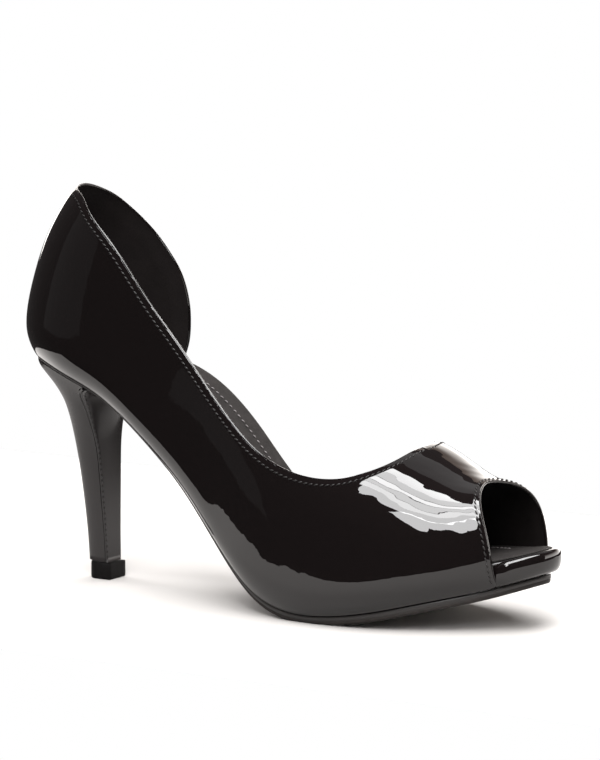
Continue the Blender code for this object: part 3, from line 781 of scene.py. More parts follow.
@dataclass
class Upper:
    """Vamp, outer quarter and counter: one patent skin with its lining and folded edges."""

    last: Last
    wall: float = 0.0018
    throat_from_back: float = 0.1824
    toe_edge_from_back: float = 0.2100
    toe_edge_sweep: float = 0.0160
    toe_edge_round: float = 0.12
    vamp_edge_sweep: float = 0.0360
    vamp_edge_round: float = 0.08
    split_sweep: float = 0.0120
    counter_corner: float = 6.5
    curl: float = 0.00050
    toe_curl: float = 0.00030
    groove_depth: float = 0.00008
    groove_width: float = 0.0004
    edge_wall: float = 0.0014
    edge_thins_over: float = 0.008
    seam_from_edge: float = 0.0022
    toe_seam_from_edge: float = 0.0016
    rim_bulge: float = 0.85
    rim_flat: float = 0.02
    rim_free: float = 0.0006
    rim_steps: int = 8
    up_rows: int = 84
    vamp_rows: int = 60
    quarter_rows: int = 150
    ripple_across: tuple[float, float, float] = (0.046, 0.507, 0.860)
    ripple_ahead: tuple[float, float, float] = (0.930, 0.290, -0.220)
    ripple_from_edge: float = 0.004
    ripple_back: float = 0.030
    ripple_low: float = 0.031
    counter_rows: int = 56

    def toe_edge(self, around: Array) -> Array:
        """Edge of the toe opening, as a share of the length."""
        swept = np.hypot(np.sin(around * np.pi / 2), self.toe_edge_round) - self.toe_edge_round
        return (self.toe_edge_from_back + self.toe_edge_sweep * swept) / self.last.length

    def vamp_edge(self, around: Array) -> Array:
        """The vamp's inner edge, from the throat down to the sole."""
        swept = np.hypot(around, self.vamp_edge_round) - self.vamp_edge_round
        return (self.throat_from_back - self.vamp_edge_sweep * swept) / self.last.length

    def topline(self) -> Array:
        """Fine pairs along the outer topline, throat first."""
        throat = self.throat_from_back / self.last.length
        crown = float(self.last.height_at(throat, 0.0)) / self.last.counter_height
        table = Table(TOPLINE.columns, (*TOPLINE.rows, (throat, crown)))
        curve = self.last.table_edge(table, np.linspace(len(table.rows) - 1, 0, 900))
        return curve * (-1, 1)

    def counter_top(self) -> Array:
        """Fine pairs along the counter's inner edge, back seam first."""
        rows = np.linspace(0, len(COUNTER_EDGE.rows) - 1, 700)
        return self.last.table_edge(COUNTER_EDGE, rows)

    def grids(self) -> list[Array]:
        """The skin's three grids: vamp, outer quarter and inner counter."""
        last = self.last
        up = crowded(self.up_rows, 1.0, 0.30)
        around = np.concatenate([up - 1, 1 - up[::-1][1:]])
        split = (self.throat_from_back + self.split_sweep * np.abs(around)) / last.length
        back = np.where(around < 0, split, self.vamp_edge(around))
        share = crowded(self.vamp_rows, 0.30, 0.30)[:, None]
        along = (1 - share) * self.toe_edge(around) + share * back
        vamp = last.point(along, np.broadcast_to(around, along.shape))

        throat = self.throat_from_back / last.length
        joint = throat + self.split_sweep / last.length
        u = np.linspace(0, 1, self.quarter_rows + 1)
        top = last.even(self.topline(), u, last.from_back)
        fine = 1 - np.linspace(0, 1, 600)
        low = np.stack([-turn(joint) * fine, np.ones_like(fine)], -1)
        low = last.even(low, u, last.from_back)
        start = np.stack([-turn(joint + (throat - joint) * up), 1 - up], -1)
        end = np.stack([np.zeros_like(up), 1 - up * (1 - top[-1, 1])], -1)
        quarter = last.from_back(patch(low, top, start, end, u, up))

        last_row = len(COUNTER_EDGE.rows) - 1
        u = crowded(self.counter_rows, 1.0, 0.35)
        top = last.table_edge(COUNTER_EDGE, np.linspace(0, self.counter_corner, 400))
        top = last.even(top, u, last.from_back)
        end = last.table_edge(COUNTER_EDGE, np.linspace(last_row, self.counter_corner, 400))
        end = last.even(end, up, last.from_back)
        start = np.stack([np.zeros_like(up), 1 - up * (1 - top[0, 1])], -1)
        low = np.stack([u * end[0, 0], np.ones_like(u)], -1)
        counter = last.from_back(patch(low, top, start, end, u, up))
        return [vamp, quarter, counter]

    def free_edge(self) -> tuple[Array, Array]:
        """The topline from the vamp's inner foot round to the counter's foot, and the toe edge."""
        last = self.last
        around = np.linspace(1, 0, 300)
        vamp = last.point(self.vamp_edge(around), around)
        outer = last.from_back(self.topline())
        counter = last.from_back(self.counter_top())
        toe = np.linspace(-1, 1, 500)
        return np.concatenate([vamp, outer[1:], counter[1:]]), last.point(self.toe_edge(toe), toe)

    def offset(self, where: Callable[[Array], Array], pairs: Array, distance: float) -> tuple[Array, Array]:
        """A line on the last beside a given one.

        Formula: the step in the two coordinates that moves the point by the distance, square to
        the line and within the surface, by least squares.

        Args:
            where: maps pairs to points.
            pairs: the given line.
            distance: how far beside it, to the left when seen from outside.

        Returns:
            The new line's points and the outward normals there.
        """
        step = 1e-4

        def slopes(at: Array) -> tuple[Array, Array]:
            """Both partial derivatives."""
            first = (where(at + (step, 0)) - where(at - (step, 0))) / (2 * step)
            second = (where(at + (0, step)) - where(at - (0, step))) / (2 * step)
            return first, second

        def outward(at: Array) -> Array:
            """Outward unit normal, away from the middle of the section."""
            first, second = slopes(at)
            normal = unit(np.cross(first, second))
            points = where(at)
            low = np.array([0, self.last.place[1], 0]) + points * (1, 0, 0)
            low[:, 2] = self.last.sole_z(points[:, 0], points[:, 1])
            facing = np.einsum("ij,ij->i", normal, points - low)
            return normal * np.sign(np.median(facing))

        first, second = slopes(pairs)
        normal = outward(pairs)
        ahead = unit(np.gradient(where(pairs), axis=0))
        beside = unit(np.cross(normal, ahead)) * distance
        products = ((first, first), (first, second), (second, second))
        aa, ab, bb = (np.einsum("ij,ij->i", p, q) for p, q in products)
        da, db = np.einsum("ij,ij->i", first, beside), np.einsum("ij,ij->i", second, beside)
        spread = np.maximum(aa * bb - ab**2, 1e-18)
        moved = pairs + np.stack([(bb * da - ab * db) / spread, (aa * db - ab * da) / spread], -1)
        return where(moved), outward(moved)

    def skin(self) -> Shape:
        """The closed wall: patent outside, lining inside, folded edges between them."""
        outside = Shape()
        sizes = []
        for grid in self.grids():
            outside.add_grid(grid)
            sizes.append(grid.shape[:2])
        number = outside.weld()
        if np.einsum("ij,ij->i", *_outward_pair(outside)).sum() < 0:
            outside.quads = outside.quads[:, ::-1]
        vamp, quarter, counter = self._numbered(number, sizes)
        last = vamp.shape[1] - 1
        middle = last // 2
        loop = np.concatenate(
            [
                vamp[0, ::-1],
                vamp[1:, 0],
                quarter[1:, 0],
                counter[1:, 0],
                counter[-1, 1:],
                counter[-2::-1, -1],
                quarter[-2::-1, -1],
                vamp[-1, middle + 1 :],
                vamp[-2:0:-1, -1],
            ]
        )
        normal = outside.normals()
        points = outside.points.copy()
        topline, toe = self.free_edge()
        near_top, near_toe = self._distance(points, topline), self._distance(points, toe)
        near = np.minimum(near_top, near_toe)
        relief = self.fold(near, near_toe < near_top)
        thick = self.edge_wall + (self.wall - self.edge_wall) * fade(near / self.edge_thins_over)
        rim_radius = thick[loop, None] / 2
        along_loop = unit(points[np.roll(loop, -1)] - points[np.roll(loop, 1)])
        away = unit(np.cross(along_loop, normal[loop]))
        inward_hint = points.mean(axis=0) - points[loop]
        if np.median(np.einsum("ij,ij->i", away, inward_hint)) > 0:
            away = -away
        ripples = self.ripples(points) * fade(near / self.ripple_from_edge)
        points = points + normal * (relief + ripples)[:, None]
        inside = outside.points - normal * thick[:, None]
        angle = np.linspace(0, np.pi, self.rim_steps + 1)
        bulge = np.where(near[loop] < self.rim_free, self.rim_bulge, self.rim_flat)[:, None] * rim_radius
        centre = (points[loop] + inside[loop]) / 2
        arm = (points[loop] - inside[loop]) / 2
        rim = (
            centre[None]
            + np.cos(angle)[:, None, None] * arm[None]
            + np.sin(angle)[:, None, None] * away[None] * bulge[None]
        )
        made = Shape()
        made.points = np.concatenate([points, inside])
        count = len(points)
        made.quads = np.concatenate([outside.quads, outside.quads[:, ::-1] + count])
        made.finish = np.concatenate([np.zeros(len(outside.quads), int), np.ones(len(outside.quads), int)])
        made.add_grid(rim.transpose(1, 0, 2), 0)
        closing = np.stack([rim[:, -1], rim[:, 0]])
        made.add_grid(closing, 0)
        made.weld()
        return self._facing(made, len(outside.quads))

    def fold(self, near: Array, at_toe: Array) -> Array:
        """Height of the folded edge over the skin.

        Formula: from the stitches to the edge the skin falls by a power of the share of the way,
        and a narrow bell is taken off where the stitches pull the skin in.

        Args:
            near: distance from the nearest edge.
            at_toe: whether that edge is the toe opening's.

        Returns:
            Heights over the smooth skin.
        """
        width = np.where(at_toe, self.toe_seam_from_edge, self.seam_from_edge)
        curl = np.where(at_toe, self.toe_curl, self.curl) * np.clip(1 - near / width, 0, 1) ** 1.1
        return -curl - self.groove_depth * np.exp(-(((near - width) / self.groove_width) ** 2))

    def ripples(self, points: Array) -> Array:
        """Soft unevenness of the stretched vamp.

        Formula: three rows of waves, each a sine whose phase wanders with another sine of the
        place along the row. They fade out behind the vamp.

        Args:
            points: places on the skin.

        Returns:
            Heights over the smooth skin.
        """
        t = points @ np.array(self.ripple_across)
        s = points @ np.array(self.ripple_ahead)
        full = 2 * np.pi

        def wave(turns: Array, wander: Array) -> Array:
            """A sine of a number of turns whose phase wanders."""
            return np.sin(full * (turns + wander))

        height = 0.000026 * wave(t / 0.0085, 0.12 * np.sin(full * s / 0.031))
        height += 0.000011 * wave(t / 0.0037 + s / 0.060, 0.22 * np.sin(full * s / 0.019 + 1))
        height += 0.000010 * wave(s / 0.011, 0.3 * np.sin(full * t / 0.009))
        ahead = fade((points[:, 0] - self.ripple_back) / 0.02)
        return height * ahead * fade((points[:, 2] - self.ripple_low) / 0.008)

    @staticmethod
    def _facing(made: Shape, skin_quads: int) -> Shape:
        """Turns the rim's quads over if they face against the normals around them.

        Args:
            made: the closed wall.
            skin_quads: number of quads on one side of the skin.

        Returns:
            The same shape.
        """
        rim = np.arange(len(made.quads)) >= 2 * skin_quads
        normal = made.normals()
        a, b, c, d = (made.points[made.quads[:, k]] for k in range(4))
        face = np.cross(c - a, d - b)
        agrees = np.einsum("ij,ij->i", face, normal[made.quads].mean(axis=1))
        if agrees[rim].sum() < 0:
            made.quads[rim] = made.quads[rim][:, ::-1]
        return made

    @staticmethod
    def _numbered(number: Array, sizes: list[tuple[int, int]]) -> list[Array]:
        """Point numbers of each grid after welding."""
        grids, start = [], 0
        for rows, columns in sizes:
            grids.append(number[start : start + rows * columns].reshape(rows, columns))
            start += rows * columns
        return grids

    @staticmethod
    def _distance(points: Array, line: Array) -> Array:
        """Distance of each point to the nearest point of a line, in slices to save memory."""
        best = np.full(len(points), np.inf)
        for first in range(0, len(line), 100):
            part = line[first : first + 100]
            apart = np.linalg.norm(points[:, None] - part[None], axis=2).min(axis=1)
            best = np.minimum(best, apart)
        return best

    def seams(self) -> list[Shape]:
        """Stitch rows inside the topline and around the toe opening."""
        last = self.last
        around = np.linspace(0.93, 0.0, 200)
        vamp = np.stack([turn(self.vamp_edge(around)), around], -1)
        rows = []
        for where, pairs, distance in (
            (last.from_toe, vamp, self.seam_from_edge),
            (last.from_back, self.topline()[2:-40], self.seam_from_edge),
            (last.from_back, self.counter_top()[60:-40], self.seam_from_edge),
        ):
            rows.append(self.offset(where, pairs, distance))
        toe = np.linspace(-0.97, 0.97, 400)
        pairs = np.stack([turn(self.toe_edge(toe)), toe], -1)
        rows.append(self.offset(last.from_toe, pairs, self.toe_seam_from_edge))
        return [Seam(points, normals).shape() for points, normals in rows]

    def build(self) -> None:
        """Makes the skin and its stitches."""
        self.skin().make(
            "upper_skin",
            [Finishes.PATENT.material(), Finishes.LINING.material()],
            "patent_leather",
            ("upper",),
        )
        stitches = join(self.seams())
        stitches.make("upper_stitches", [Finishes.THREAD.material()], "patent_leather")


def join(shapes: list[Shape]) -> Shape:
    """Several shapes as one."""
    made = Shape()
    for shape in shapes:
        start = len(made.points)
        made.points = np.concatenate([made.points, shape.points])
        made.quads = np.concatenate([made.quads, shape.quads + start])
        made.finish = np.concatenate([made.finish, shape.finish])
    return made


@dataclass
class Layer:
    """A closed layer of the bottom, from rings that run round its outline.

    Each ring has an inset from the outline and a height, both for a place along the shoe.
    """

    last: Last
    outline: Callable[[Array, int, float], Array]
    heights: Callable[[Array, float], Array]
    rings: tuple[tuple[float, float, int], ...]
    first: float = 0.006
    until: float = 0.994
    count: int = 220
    across: int = 14

    def shape(self) -> Shape:
        """The layer's shape.

        Formula: ring k runs forward on the outer side and back on the inner side, at its own
        inset and level. The first and the last ring are filled with straight lines across.

        Returns:
            The closed layer.
        """
        turned = np.linspace(self.first, self.until, self.count)
        walls, sides = [], []
        for inset, level, _ in self.rings:
            pair = []
            for side in (OUTER, INNER):
                plan = self.outline(turned, side, inset)
                pair.append(self._raised(plan, level))
            walls.append(np.concatenate([pair[0], pair[1][::-1]]))
            sides.append(pair)
        made = Shape()
        finish = [ring[2] for ring in self.rings]
        for k in range(len(walls) - 1):
            made.add_grid(np.stack([walls[k], walls[k + 1]]), finish[k], closed=True)
        f = np.linspace(0, 1, self.across + 1)[None, :, None]
        for k, backwards in ((0, False), (-1, True)):
            outer, inner = sides[k][0][:, None, :2], sides[k][1][:, None, :2]
            plan = outer + f * (inner - outer)
            grid = self._raised(plan.reshape(-1, 2), self.rings[k][1]).reshape(*plan.shape[:2], 3)
            made.add_grid(grid[::-1] if backwards else grid, finish[k])
        made.weld()
        if np.einsum("ij,ij->i", *_outward_pair(made)).sum() < 0:
            made.quads = made.quads[:, ::-1]
        return made

    def _raised(self, plan: Array, level: float) -> Array:
        """Points over a place in plan at a level of the layer."""
        sole = self.last.sole_z(plan[:, 0], plan[:, 1])
        height = self.heights(self.last.sole_along(plan[:, 0]), level)
        return np.concatenate([plan, np.maximum(sole + height, 0)[:, None]], -1)


@dataclass
class Bottom:
    """Outsole, platform with its patent lip, insole and sock."""

    last: Last
    upper: Upper
    sole_seat: float = 0.0013
    sole_fore: float = 0.0035
    sole_inset: float = 0.0008
    platform_ball: float = 0.0120
    platform_toe: float = 0.0076
    lip_undercut: float = 0.0022
    insole_board: float = 0.0034
    insole_toe: float = 0.0013
    sock: float = 0.0012
    sock_margin: float = 0.0012
    seam_inset: float = 0.0085
    seat_gap: float = 0.0003
    wall_gap: float = 0.0006
    platform_from: float = 0.38
    platform_full_at: float = 0.62
    sole_thickens_from: float = 0.25
    sole_full_at: float = 0.60
    lip_from: float = 0.930
    lip_to: float = 0.955
    leaning_wall: float = 1.25
    lip_margin: float = 0.0024
    bare_starts: float = 0.003
    bare_ends: float = 0.006
    bare_grows: float = 0.006
    bare_shrinks: float = 0.03
    undercut_from: float = 0.85
    undercut_over: float = 0.15

    def platform_top(self, along: Array) -> Array:
        """Height of the hidden platform over the sole."""
        span = self.platform_full_at - self.platform_from
        grown = fade((along - self.platform_from) / span)
        thinned = self._thinned(along)
        return grown * (self.platform_ball + (self.platform_toe - self.platform_ball) * thinned)

    def _thinned(self, along: Array) -> Array:
        """0 up to the ball, growing to 1 at the toe."""
        return fade((along - self.platform_full_at) / (1 - self.platform_full_at))

    def insole_top(self, along: Array) -> Array:
        """Height of the insole's upper side over the sole."""
        board = self.insole_board + (self.insole_toe - self.insole_board) * self._thinned(along)
        return self.platform_top(along) + self.seat_gap + board

    def sole_depth(self, along: Array) -> Array:
        """Depth of the outsole's underside below the sole line."""
        span = self.sole_full_at - self.sole_thickens_from
        grown = fade((along - self.sole_thickens_from) / span)
        return self.seat_gap + self.sole_seat + (self.sole_fore - self.sole_seat) * grown

    def lip_share(self, turned: Array) -> Array:
        """0 inside the upper, 1 where the lip shows in the toe opening."""
        return fade((along_of(turned) - self.lip_from) / (self.lip_to - self.lip_from))

    def bare_share(self, turned: Array) -> Array:
        """1 where the inner side is cut away and the bed's edge lies open."""
        along = along_of(turned)
        starts = COUNTER_EDGE.rows[-1][0] + self.bare_starts
        ends = float(self.upper.vamp_edge(1.0)) + self.bare_ends
        return fade((along - starts) / self.bare_grows) * fade((ends - along) / self.bare_shrinks)

    def sole_outline(self, turned: Array, side: int, inset: float) -> Array:
        """The outsole's outline, drawn in under the lip at the toe."""
        ahead = (along_of(turned) - self.undercut_from) / self.undercut_over
        under = self.lip_undercut * fade(ahead)
        return self.last.plan_edge(turned, side, 0.0, self.sole_inset + under + inset)

    def bed_outline(self, turned: Array, side: int, inset: float) -> Array:
        """Outline of the insole and sock: inside the wall, or out over the cut-away arch."""
        lip = self.lip_share(turned)
        height = self.insole_top(along_of(turned))
        walled = (self.last_wall() + self.wall_gap) * (1 - lip) + self.lip_margin * lip
        inside = self.last.plan_edge(turned, side, height, walled + inset)
        if side == OUTER:
            return inside
        bare = self.bare_share(turned)[:, None]
        open_edge = self.last.plan_edge(turned, side, self.last.tuck_height, inset)
        return inside + (open_edge - inside) * bare

    def last_wall(self) -> float:
        """Breadth of the leaning wall in plan."""
        return self.upper.wall * self.leaning_wall

    def lip_outline(self, turned: Array, side: int, inset: float) -> Array:
        """The platform's outline, hidden in the upper and out to the toe's outline at the lip."""
        lip = self.lip_share(turned)
        height = self.platform_top(along_of(turned))
        hidden = (self.last_wall() + self.wall_gap) * (1 - lip)
        return self.last.plan_edge(turned, side, height, hidden + inset)

    def build(self) -> None:
        """Makes the four layers and the sock's stitches."""
        self._outsole().make(
            "outsole_layers",
            [Finishes.SOLE_TOP_LAYER.material(), Finishes.SOLE_LOW_LAYER.material()],
            "outsole",
            ("outsole",),
        )
        self._lip().make("lip_cover", [Finishes.PATENT.material()], "patent_lip", ("platform",))
        self._insole().make("insole_wrapped", [Finishes.WRAP.material()], "insole_wrap", ("insole",))
        self._sock().make("sock_lining", [Finishes.SOCK.material()], "sock_lining", ("sock",))
        join(self._sock_seams()).make("sock_stitches", [Finishes.SOCK_THREAD.material()], "sock_lining")

    def _outsole(self) -> Shape:
        """Outsole with a dark upper and a brown lower layer at its edge."""
        rings = (
            (0.0002, 0.0, 0),
            (0.0, 0.06, 0),
            (0.0, 0.50, 0),
            (0.00025, 0.55, 1),
            (0.0001, 0.60, 1),
            (0.0003, 0.90, 1),
            (0.0008, 1.0, 1),
            (0.0030, 1.0, 1),
        )

        def heights(along: Array, level: float) -> Array:
            """Level 0 is the outsole's top and level 1 its underside."""
            return -self.seat_gap - level * (self.sole_depth(along) - self.seat_gap)

        return Layer(self.last, self.sole_outline, heights, rings).shape()

    def _lip(self) -> Shape:
        """Platform core, whose patent cover shows as a lip with rounded edges at the toe."""
        rings = (
            (0.0028, 0.985, 0),
            (0.0021, 0.985, 0),
            (0.0014, 0.955, 0),
            (0.0009, 0.910, 0),
            (0.0005, 0.85, 0),
            (0.0002, 0.76, 0),
            (0.00005, 0.65, 0),
            (0.0, 0.52, 0),
            (0.0001, 0.38, 0),
            (0.0004, 0.22, 0),
            (0.0009, 0.10, 0),
            (0.0015, 0.03, 0),
            (0.0024, 0.0, 0),
        )

        def heights(along: Array, level: float) -> Array:
            """Level 0 is the sole and level 1 the insole's upper side."""
            return level * self.insole_top(along)

        first = float(turn(self.platform_from + 0.04))
        return Layer(self.last, self.lip_outline, heights, rings, first=first).shape()

    def _insole(self) -> Shape:
        """Board with a rounded wrapped edge."""
        rings = (
            (0.0008, 1.0, 0),
            (0.0003, 0.93, 0),
            (0.0, 0.75, 0),
            (0.0001, 0.35, 0),
            (0.0008, 0.0, 0),
        )

        def heights(along: Array, level: float) -> Array:
            """Level 0 is the underside and level 1 the top."""
            low = self.platform_top(along) + self.seat_gap
            return low + level * (self.insole_top(along) - low)

        return Layer(self.last, self.bed_outline, heights, rings, until=0.985).shape()

    def _sock(self) -> Shape:
        """Sock lining with a soft edge."""
        rings = (
            (self.sock_margin + 0.0009, 1.0, 0),
            (self.sock_margin + 0.0004, 0.90, 0),
            (self.sock_margin + 0.0001, 0.60, 0),
            (self.sock_margin, 0.0, 0),
        )

        def heights(along: Array, level: float) -> Array:
            """The sock is pressed thin at the lip."""
            thick = self.sock * (1 - 0.75 * fade((along - self.lip_from) / (1 - self.lip_from)))
            return self.insole_top(along) + self.seat_gap * 0.3 + level * thick

        return Layer(self.last, self.bed_outline, heights, rings, across=20).shape()

    @staticmethod
    def _smoothed(line: Array, reach: int = 25) -> Array:
        """A line whose points are averaged with their neighbours, nearer ones more."""
        share = np.hanning(2 * reach + 1)
        padded = np.pad(line, ((reach, reach), (0, 0)), mode="edge")
        return np.stack([np.convolve(padded[:, k], share / share.sum(), "valid") for k in (0, 1)], -1)

    def _sock_seams(self) -> list[Shape]:
        """Stitch lines inside both edges of the sock."""
        turned = np.linspace(0.09, 0.80, 400)
        made = []
        for side in (OUTER, INNER):
            plan = self._smoothed(self.bed_outline(turned, side, self.seam_inset))
            sole = self.last.sole_z(plan[:, 0], plan[:, 1])
            height = self.insole_top(self.last.sole_along(plan[:, 0])) + self.seat_gap + self.sock
            points = np.concatenate([plan, (sole + height)[:, None]], -1)
            slope = np.gradient(points[:, 2]) / np.gradient(points[:, 0])
            up = unit(np.stack([-slope, np.zeros_like(slope), np.ones_like(slope)], -1))
            made.append(Seam(points, up, pitch=0.0026, length=0.0015, thick=0.0003).shape())
        return made


@dataclass
class Heel:
    """Covered heel with its breast piece and rubber tip."""

    last: Last
    bottom: Bottom
    tip_from_back: float = 0.0339
    tip_length: float = 0.0112
    tip_width: float = 0.0110
    tip_height: float = 0.0065
    tip_square: float = 0.2
    breast_panel: float = 0.0009
    seam_from: float = 0.03
    seam_to: float = 0.96
    seat_shape_from: float = 0.8
    seat_shape_over: float = 0.2
    panel_flare: float = 1.5
    panel_flares_from: float = 0.7
    panel_flares_over: float = 0.3
    level_crowding: float = 0.8
    rings: int = 90
    around: int = 64
    front: int = 16

    def size(self, name: str, level: float) -> float:
        """One column of the heel's table in metres: places along x, or a half breadth."""
        value = float(spline(HEEL.column("level"), HEEL.column(name), level))
        if name == "half":
            return self.last.ball_breadth * value
        return self.tip_from_back * (1 + value)

    def sides(self, level: float) -> Array:
        """The sides and back in plan at a level, from the inner front corner round."""
        angle = np.linspace(np.pi / 2, -np.pi / 2, self.around + 1)
        back, corner = self.size("back", level), self.size("corner", level)
        x = corner - (corner - back) * np.cos(angle)
        seat = self.last.plan_edge(np.linspace(0.015, 0.985, 200), OUTER, 0.0, self.bottom.sole_inset)
        seat = np.abs(seat - self.last.place[:2])
        held = np.interp(x, seat[:, 0], seat[:, 1]) / np.interp(corner, seat[:, 0], seat[:, 1])
        like_seat = fade((level - self.seat_shape_from) / self.seat_shape_over)
        y = np.sin(angle) * (1 - like_seat) + np.sign(angle) * held * like_seat
        return np.stack([x, self.size("half", level) * y], -1) + self.last.place[:2]

    def breast(self, level: float, depth: float) -> Array:
        """The front in plan, from the outer corner to the inner, set back by a depth."""
        f = np.linspace(-1, 1, self.front + 1)
        corner, front = self.size("corner", level), self.size("front", level)
        flared = fade((level - self.panel_flares_from) / self.panel_flares_over)
        square = 1 + self.panel_flare * flared
        x = corner + (front - corner) * (1 - f**2) - depth * square
        return np.stack([x, self.size("half", level) * f], -1) + self.last.place[:2]

    def raised(self, plan: Array, level: float, heights_of: Array | None = None) -> Array:
        """Points of a plan curve at a level between the heel tip and the outsole."""
        at = plan if heights_of is None else heights_of
        seat = self.last.sole_z(at[:, 0], at[:, 1])
        seat = seat - self.bottom.sole_depth(self.last.sole_along(at[:, 0])) - self.bottom.seat_gap
        base = self.tip_height + self.bottom.seat_gap
        return np.concatenate([plan, (base + level * (seat - base))[:, None]], -1)

    def body(self) -> Shape:
        """The heel's D-shaped body."""
        rings = []
        for level in np.linspace(0, 1, self.rings) ** self.level_crowding:
            sides = self.sides(level)
            front = self.breast(level, 0.0)
            breast = self.breast(level, self.breast_panel + self.bottom.seat_gap)
            sides[:, 0] = np.minimum(sides[:, 0], breast[0, 0])
            breast = self.raised(breast, level, front)
            ring = self.raised(sides, level)
            ring[0, 2], ring[-1, 2] = breast[-1, 2], breast[0, 2]
            rings.append(np.concatenate([ring, breast[1:-1]]))
        return self._lofted(np.array(rings))

    def cover(self) -> Shape:
        """The breast piece, a thin patent cover."""
        rings = []
        for level in np.linspace(0, 1, self.rings) ** self.level_crowding:
            front, back = self.breast(level, 0.0), self.breast(level, self.breast_panel)
            ring = [self.raised(back, level, front), self.raised(front, level)[::-1]]
            rings.append(np.concatenate(ring)[::-1])
        return self._lofted(np.array(rings))

    def tip(self) -> Shape:
        """Rubber top piece: square to the front, round behind, edges slightly rounded."""
        angle = np.linspace(np.pi / 2, 3 * np.pi / 2, 33)
        half_long, half_wide = self.tip_length / 2, self.tip_width / 2
        x = half_long * ((1 - self.tip_square) * np.cos(angle) - self.tip_square)
        y = half_wide * np.sin(angle)
        side = np.linspace(-1, 1, 9)
        plan = np.stack([np.append(x, np.full(9, half_long)), np.append(y, half_wide * side)], -1)
        middle = np.array([self.tip_from_back, 0]) + self.last.place[:2]
        rings = []
        edges = ((0.94, 0.0), (0.99, 0.0004), (1.0, 0.0010), (1.0, 0.0058), (0.985, self.tip_height))
        for shrink, z in edges:
            ring = plan * shrink + middle
            rings.append(np.concatenate([ring, np.full((len(ring), 1), z)], -1))
        return self._lofted(np.array(rings))

    def corner_seam(self) -> Shape:
        """Stitches down the outer corner, where the breast piece meets the heel's cover."""
        levels = np.linspace(self.seam_from, self.seam_to, 200)
        corner = [self.raised(self.breast(level, 0.0)[:1], level)[0] for level in levels]
        outward = np.broadcast_to(unit(np.array([1.0, -1.0, 0.0])), (len(levels), 3))
        stitch = {"pitch": 0.0022, "length": 0.0016, "thick": 0.00028, "proud": 0.00008, "slant": 0.0}
        return Seam(np.array(corner), outward, **stitch).shape()

    @staticmethod
    def _lofted(rings: Array) -> Shape:
        """Closed shape through rings of equal size, with fans over both ends."""
        made = Shape()
        made.add_grid(rings, closed=True)
        for ring in (rings[0], rings[-1]):
            middle = np.broadcast_to(ring.mean(axis=0), ring.shape)
            inner = (ring + middle) / 2
            made.add_grid(np.stack([ring, inner]), closed=True)
            made.add_grid(np.stack([inner, middle]), closed=True)
        made.weld()
        centre, area = _outward_pair(made)
        if np.einsum("ij,ij->i", centre, area).sum() < 0:
            made.quads = made.quads[:, ::-1]
        return made

    def build(self) -> None:
        """Makes the body, the breast piece, the seam between them and the tip."""
        self.body().make("heel_body", [Finishes.HEEL_PATENT.material()], "heel_cover", ("heel",))
        self.cover().make("heel_breast", [Finishes.HEEL_PATENT.material()], "heel_cover", ("breast_cover",))
        self.corner_seam().make("heel_stitches", [Finishes.THREAD.material()], "heel_cover")
        self.tip().make("heel_top_piece", [Finishes.TIP.material()], "tip_rubber", ("heel_tip",))


@dataclass(frozen=True)
class Lamp:
    """A flat light: its middle, the point it faces, its two sides and its brightness."""

    name: str
    place: tuple[float, float, float]
    facing: tuple[float, float, float]
    across: float
    along: float
    radiance: float
    colour: tuple[float, float, float] = (1.0, 1.0, 1.0)
    mirrored: bool = True

    def make(self) -> None:
        """Adds the area light. Its power is its radiance times its area times pi."""
        data = bpy.data.lights.new(self.name, "AREA")
        data.shape, data.size, data.size_y = "RECTANGLE", self.across, self.along
        data.energy = self.radiance * self.across * self.along * np.pi
        data.color = self.colour
        lamp = bpy.data.objects.new(self.name, data)
        back = unit(np.array(self.place) - np.array(self.facing))
        right = unit(np.cross((0.0, 1.0, 0.0), back))
        matrix = np.eye(4)
        matrix[:3, :3] = np.stack([right, np.cross(back, right), back], -1)
        matrix[:3, 3] = self.place
        lamp.matrix_world = Matrix(matrix.tolist())
        lamp.visible_camera, lamp.visible_glossy = False, self.mirrored
        bpy.context.scene.collection.objects.link(lamp)


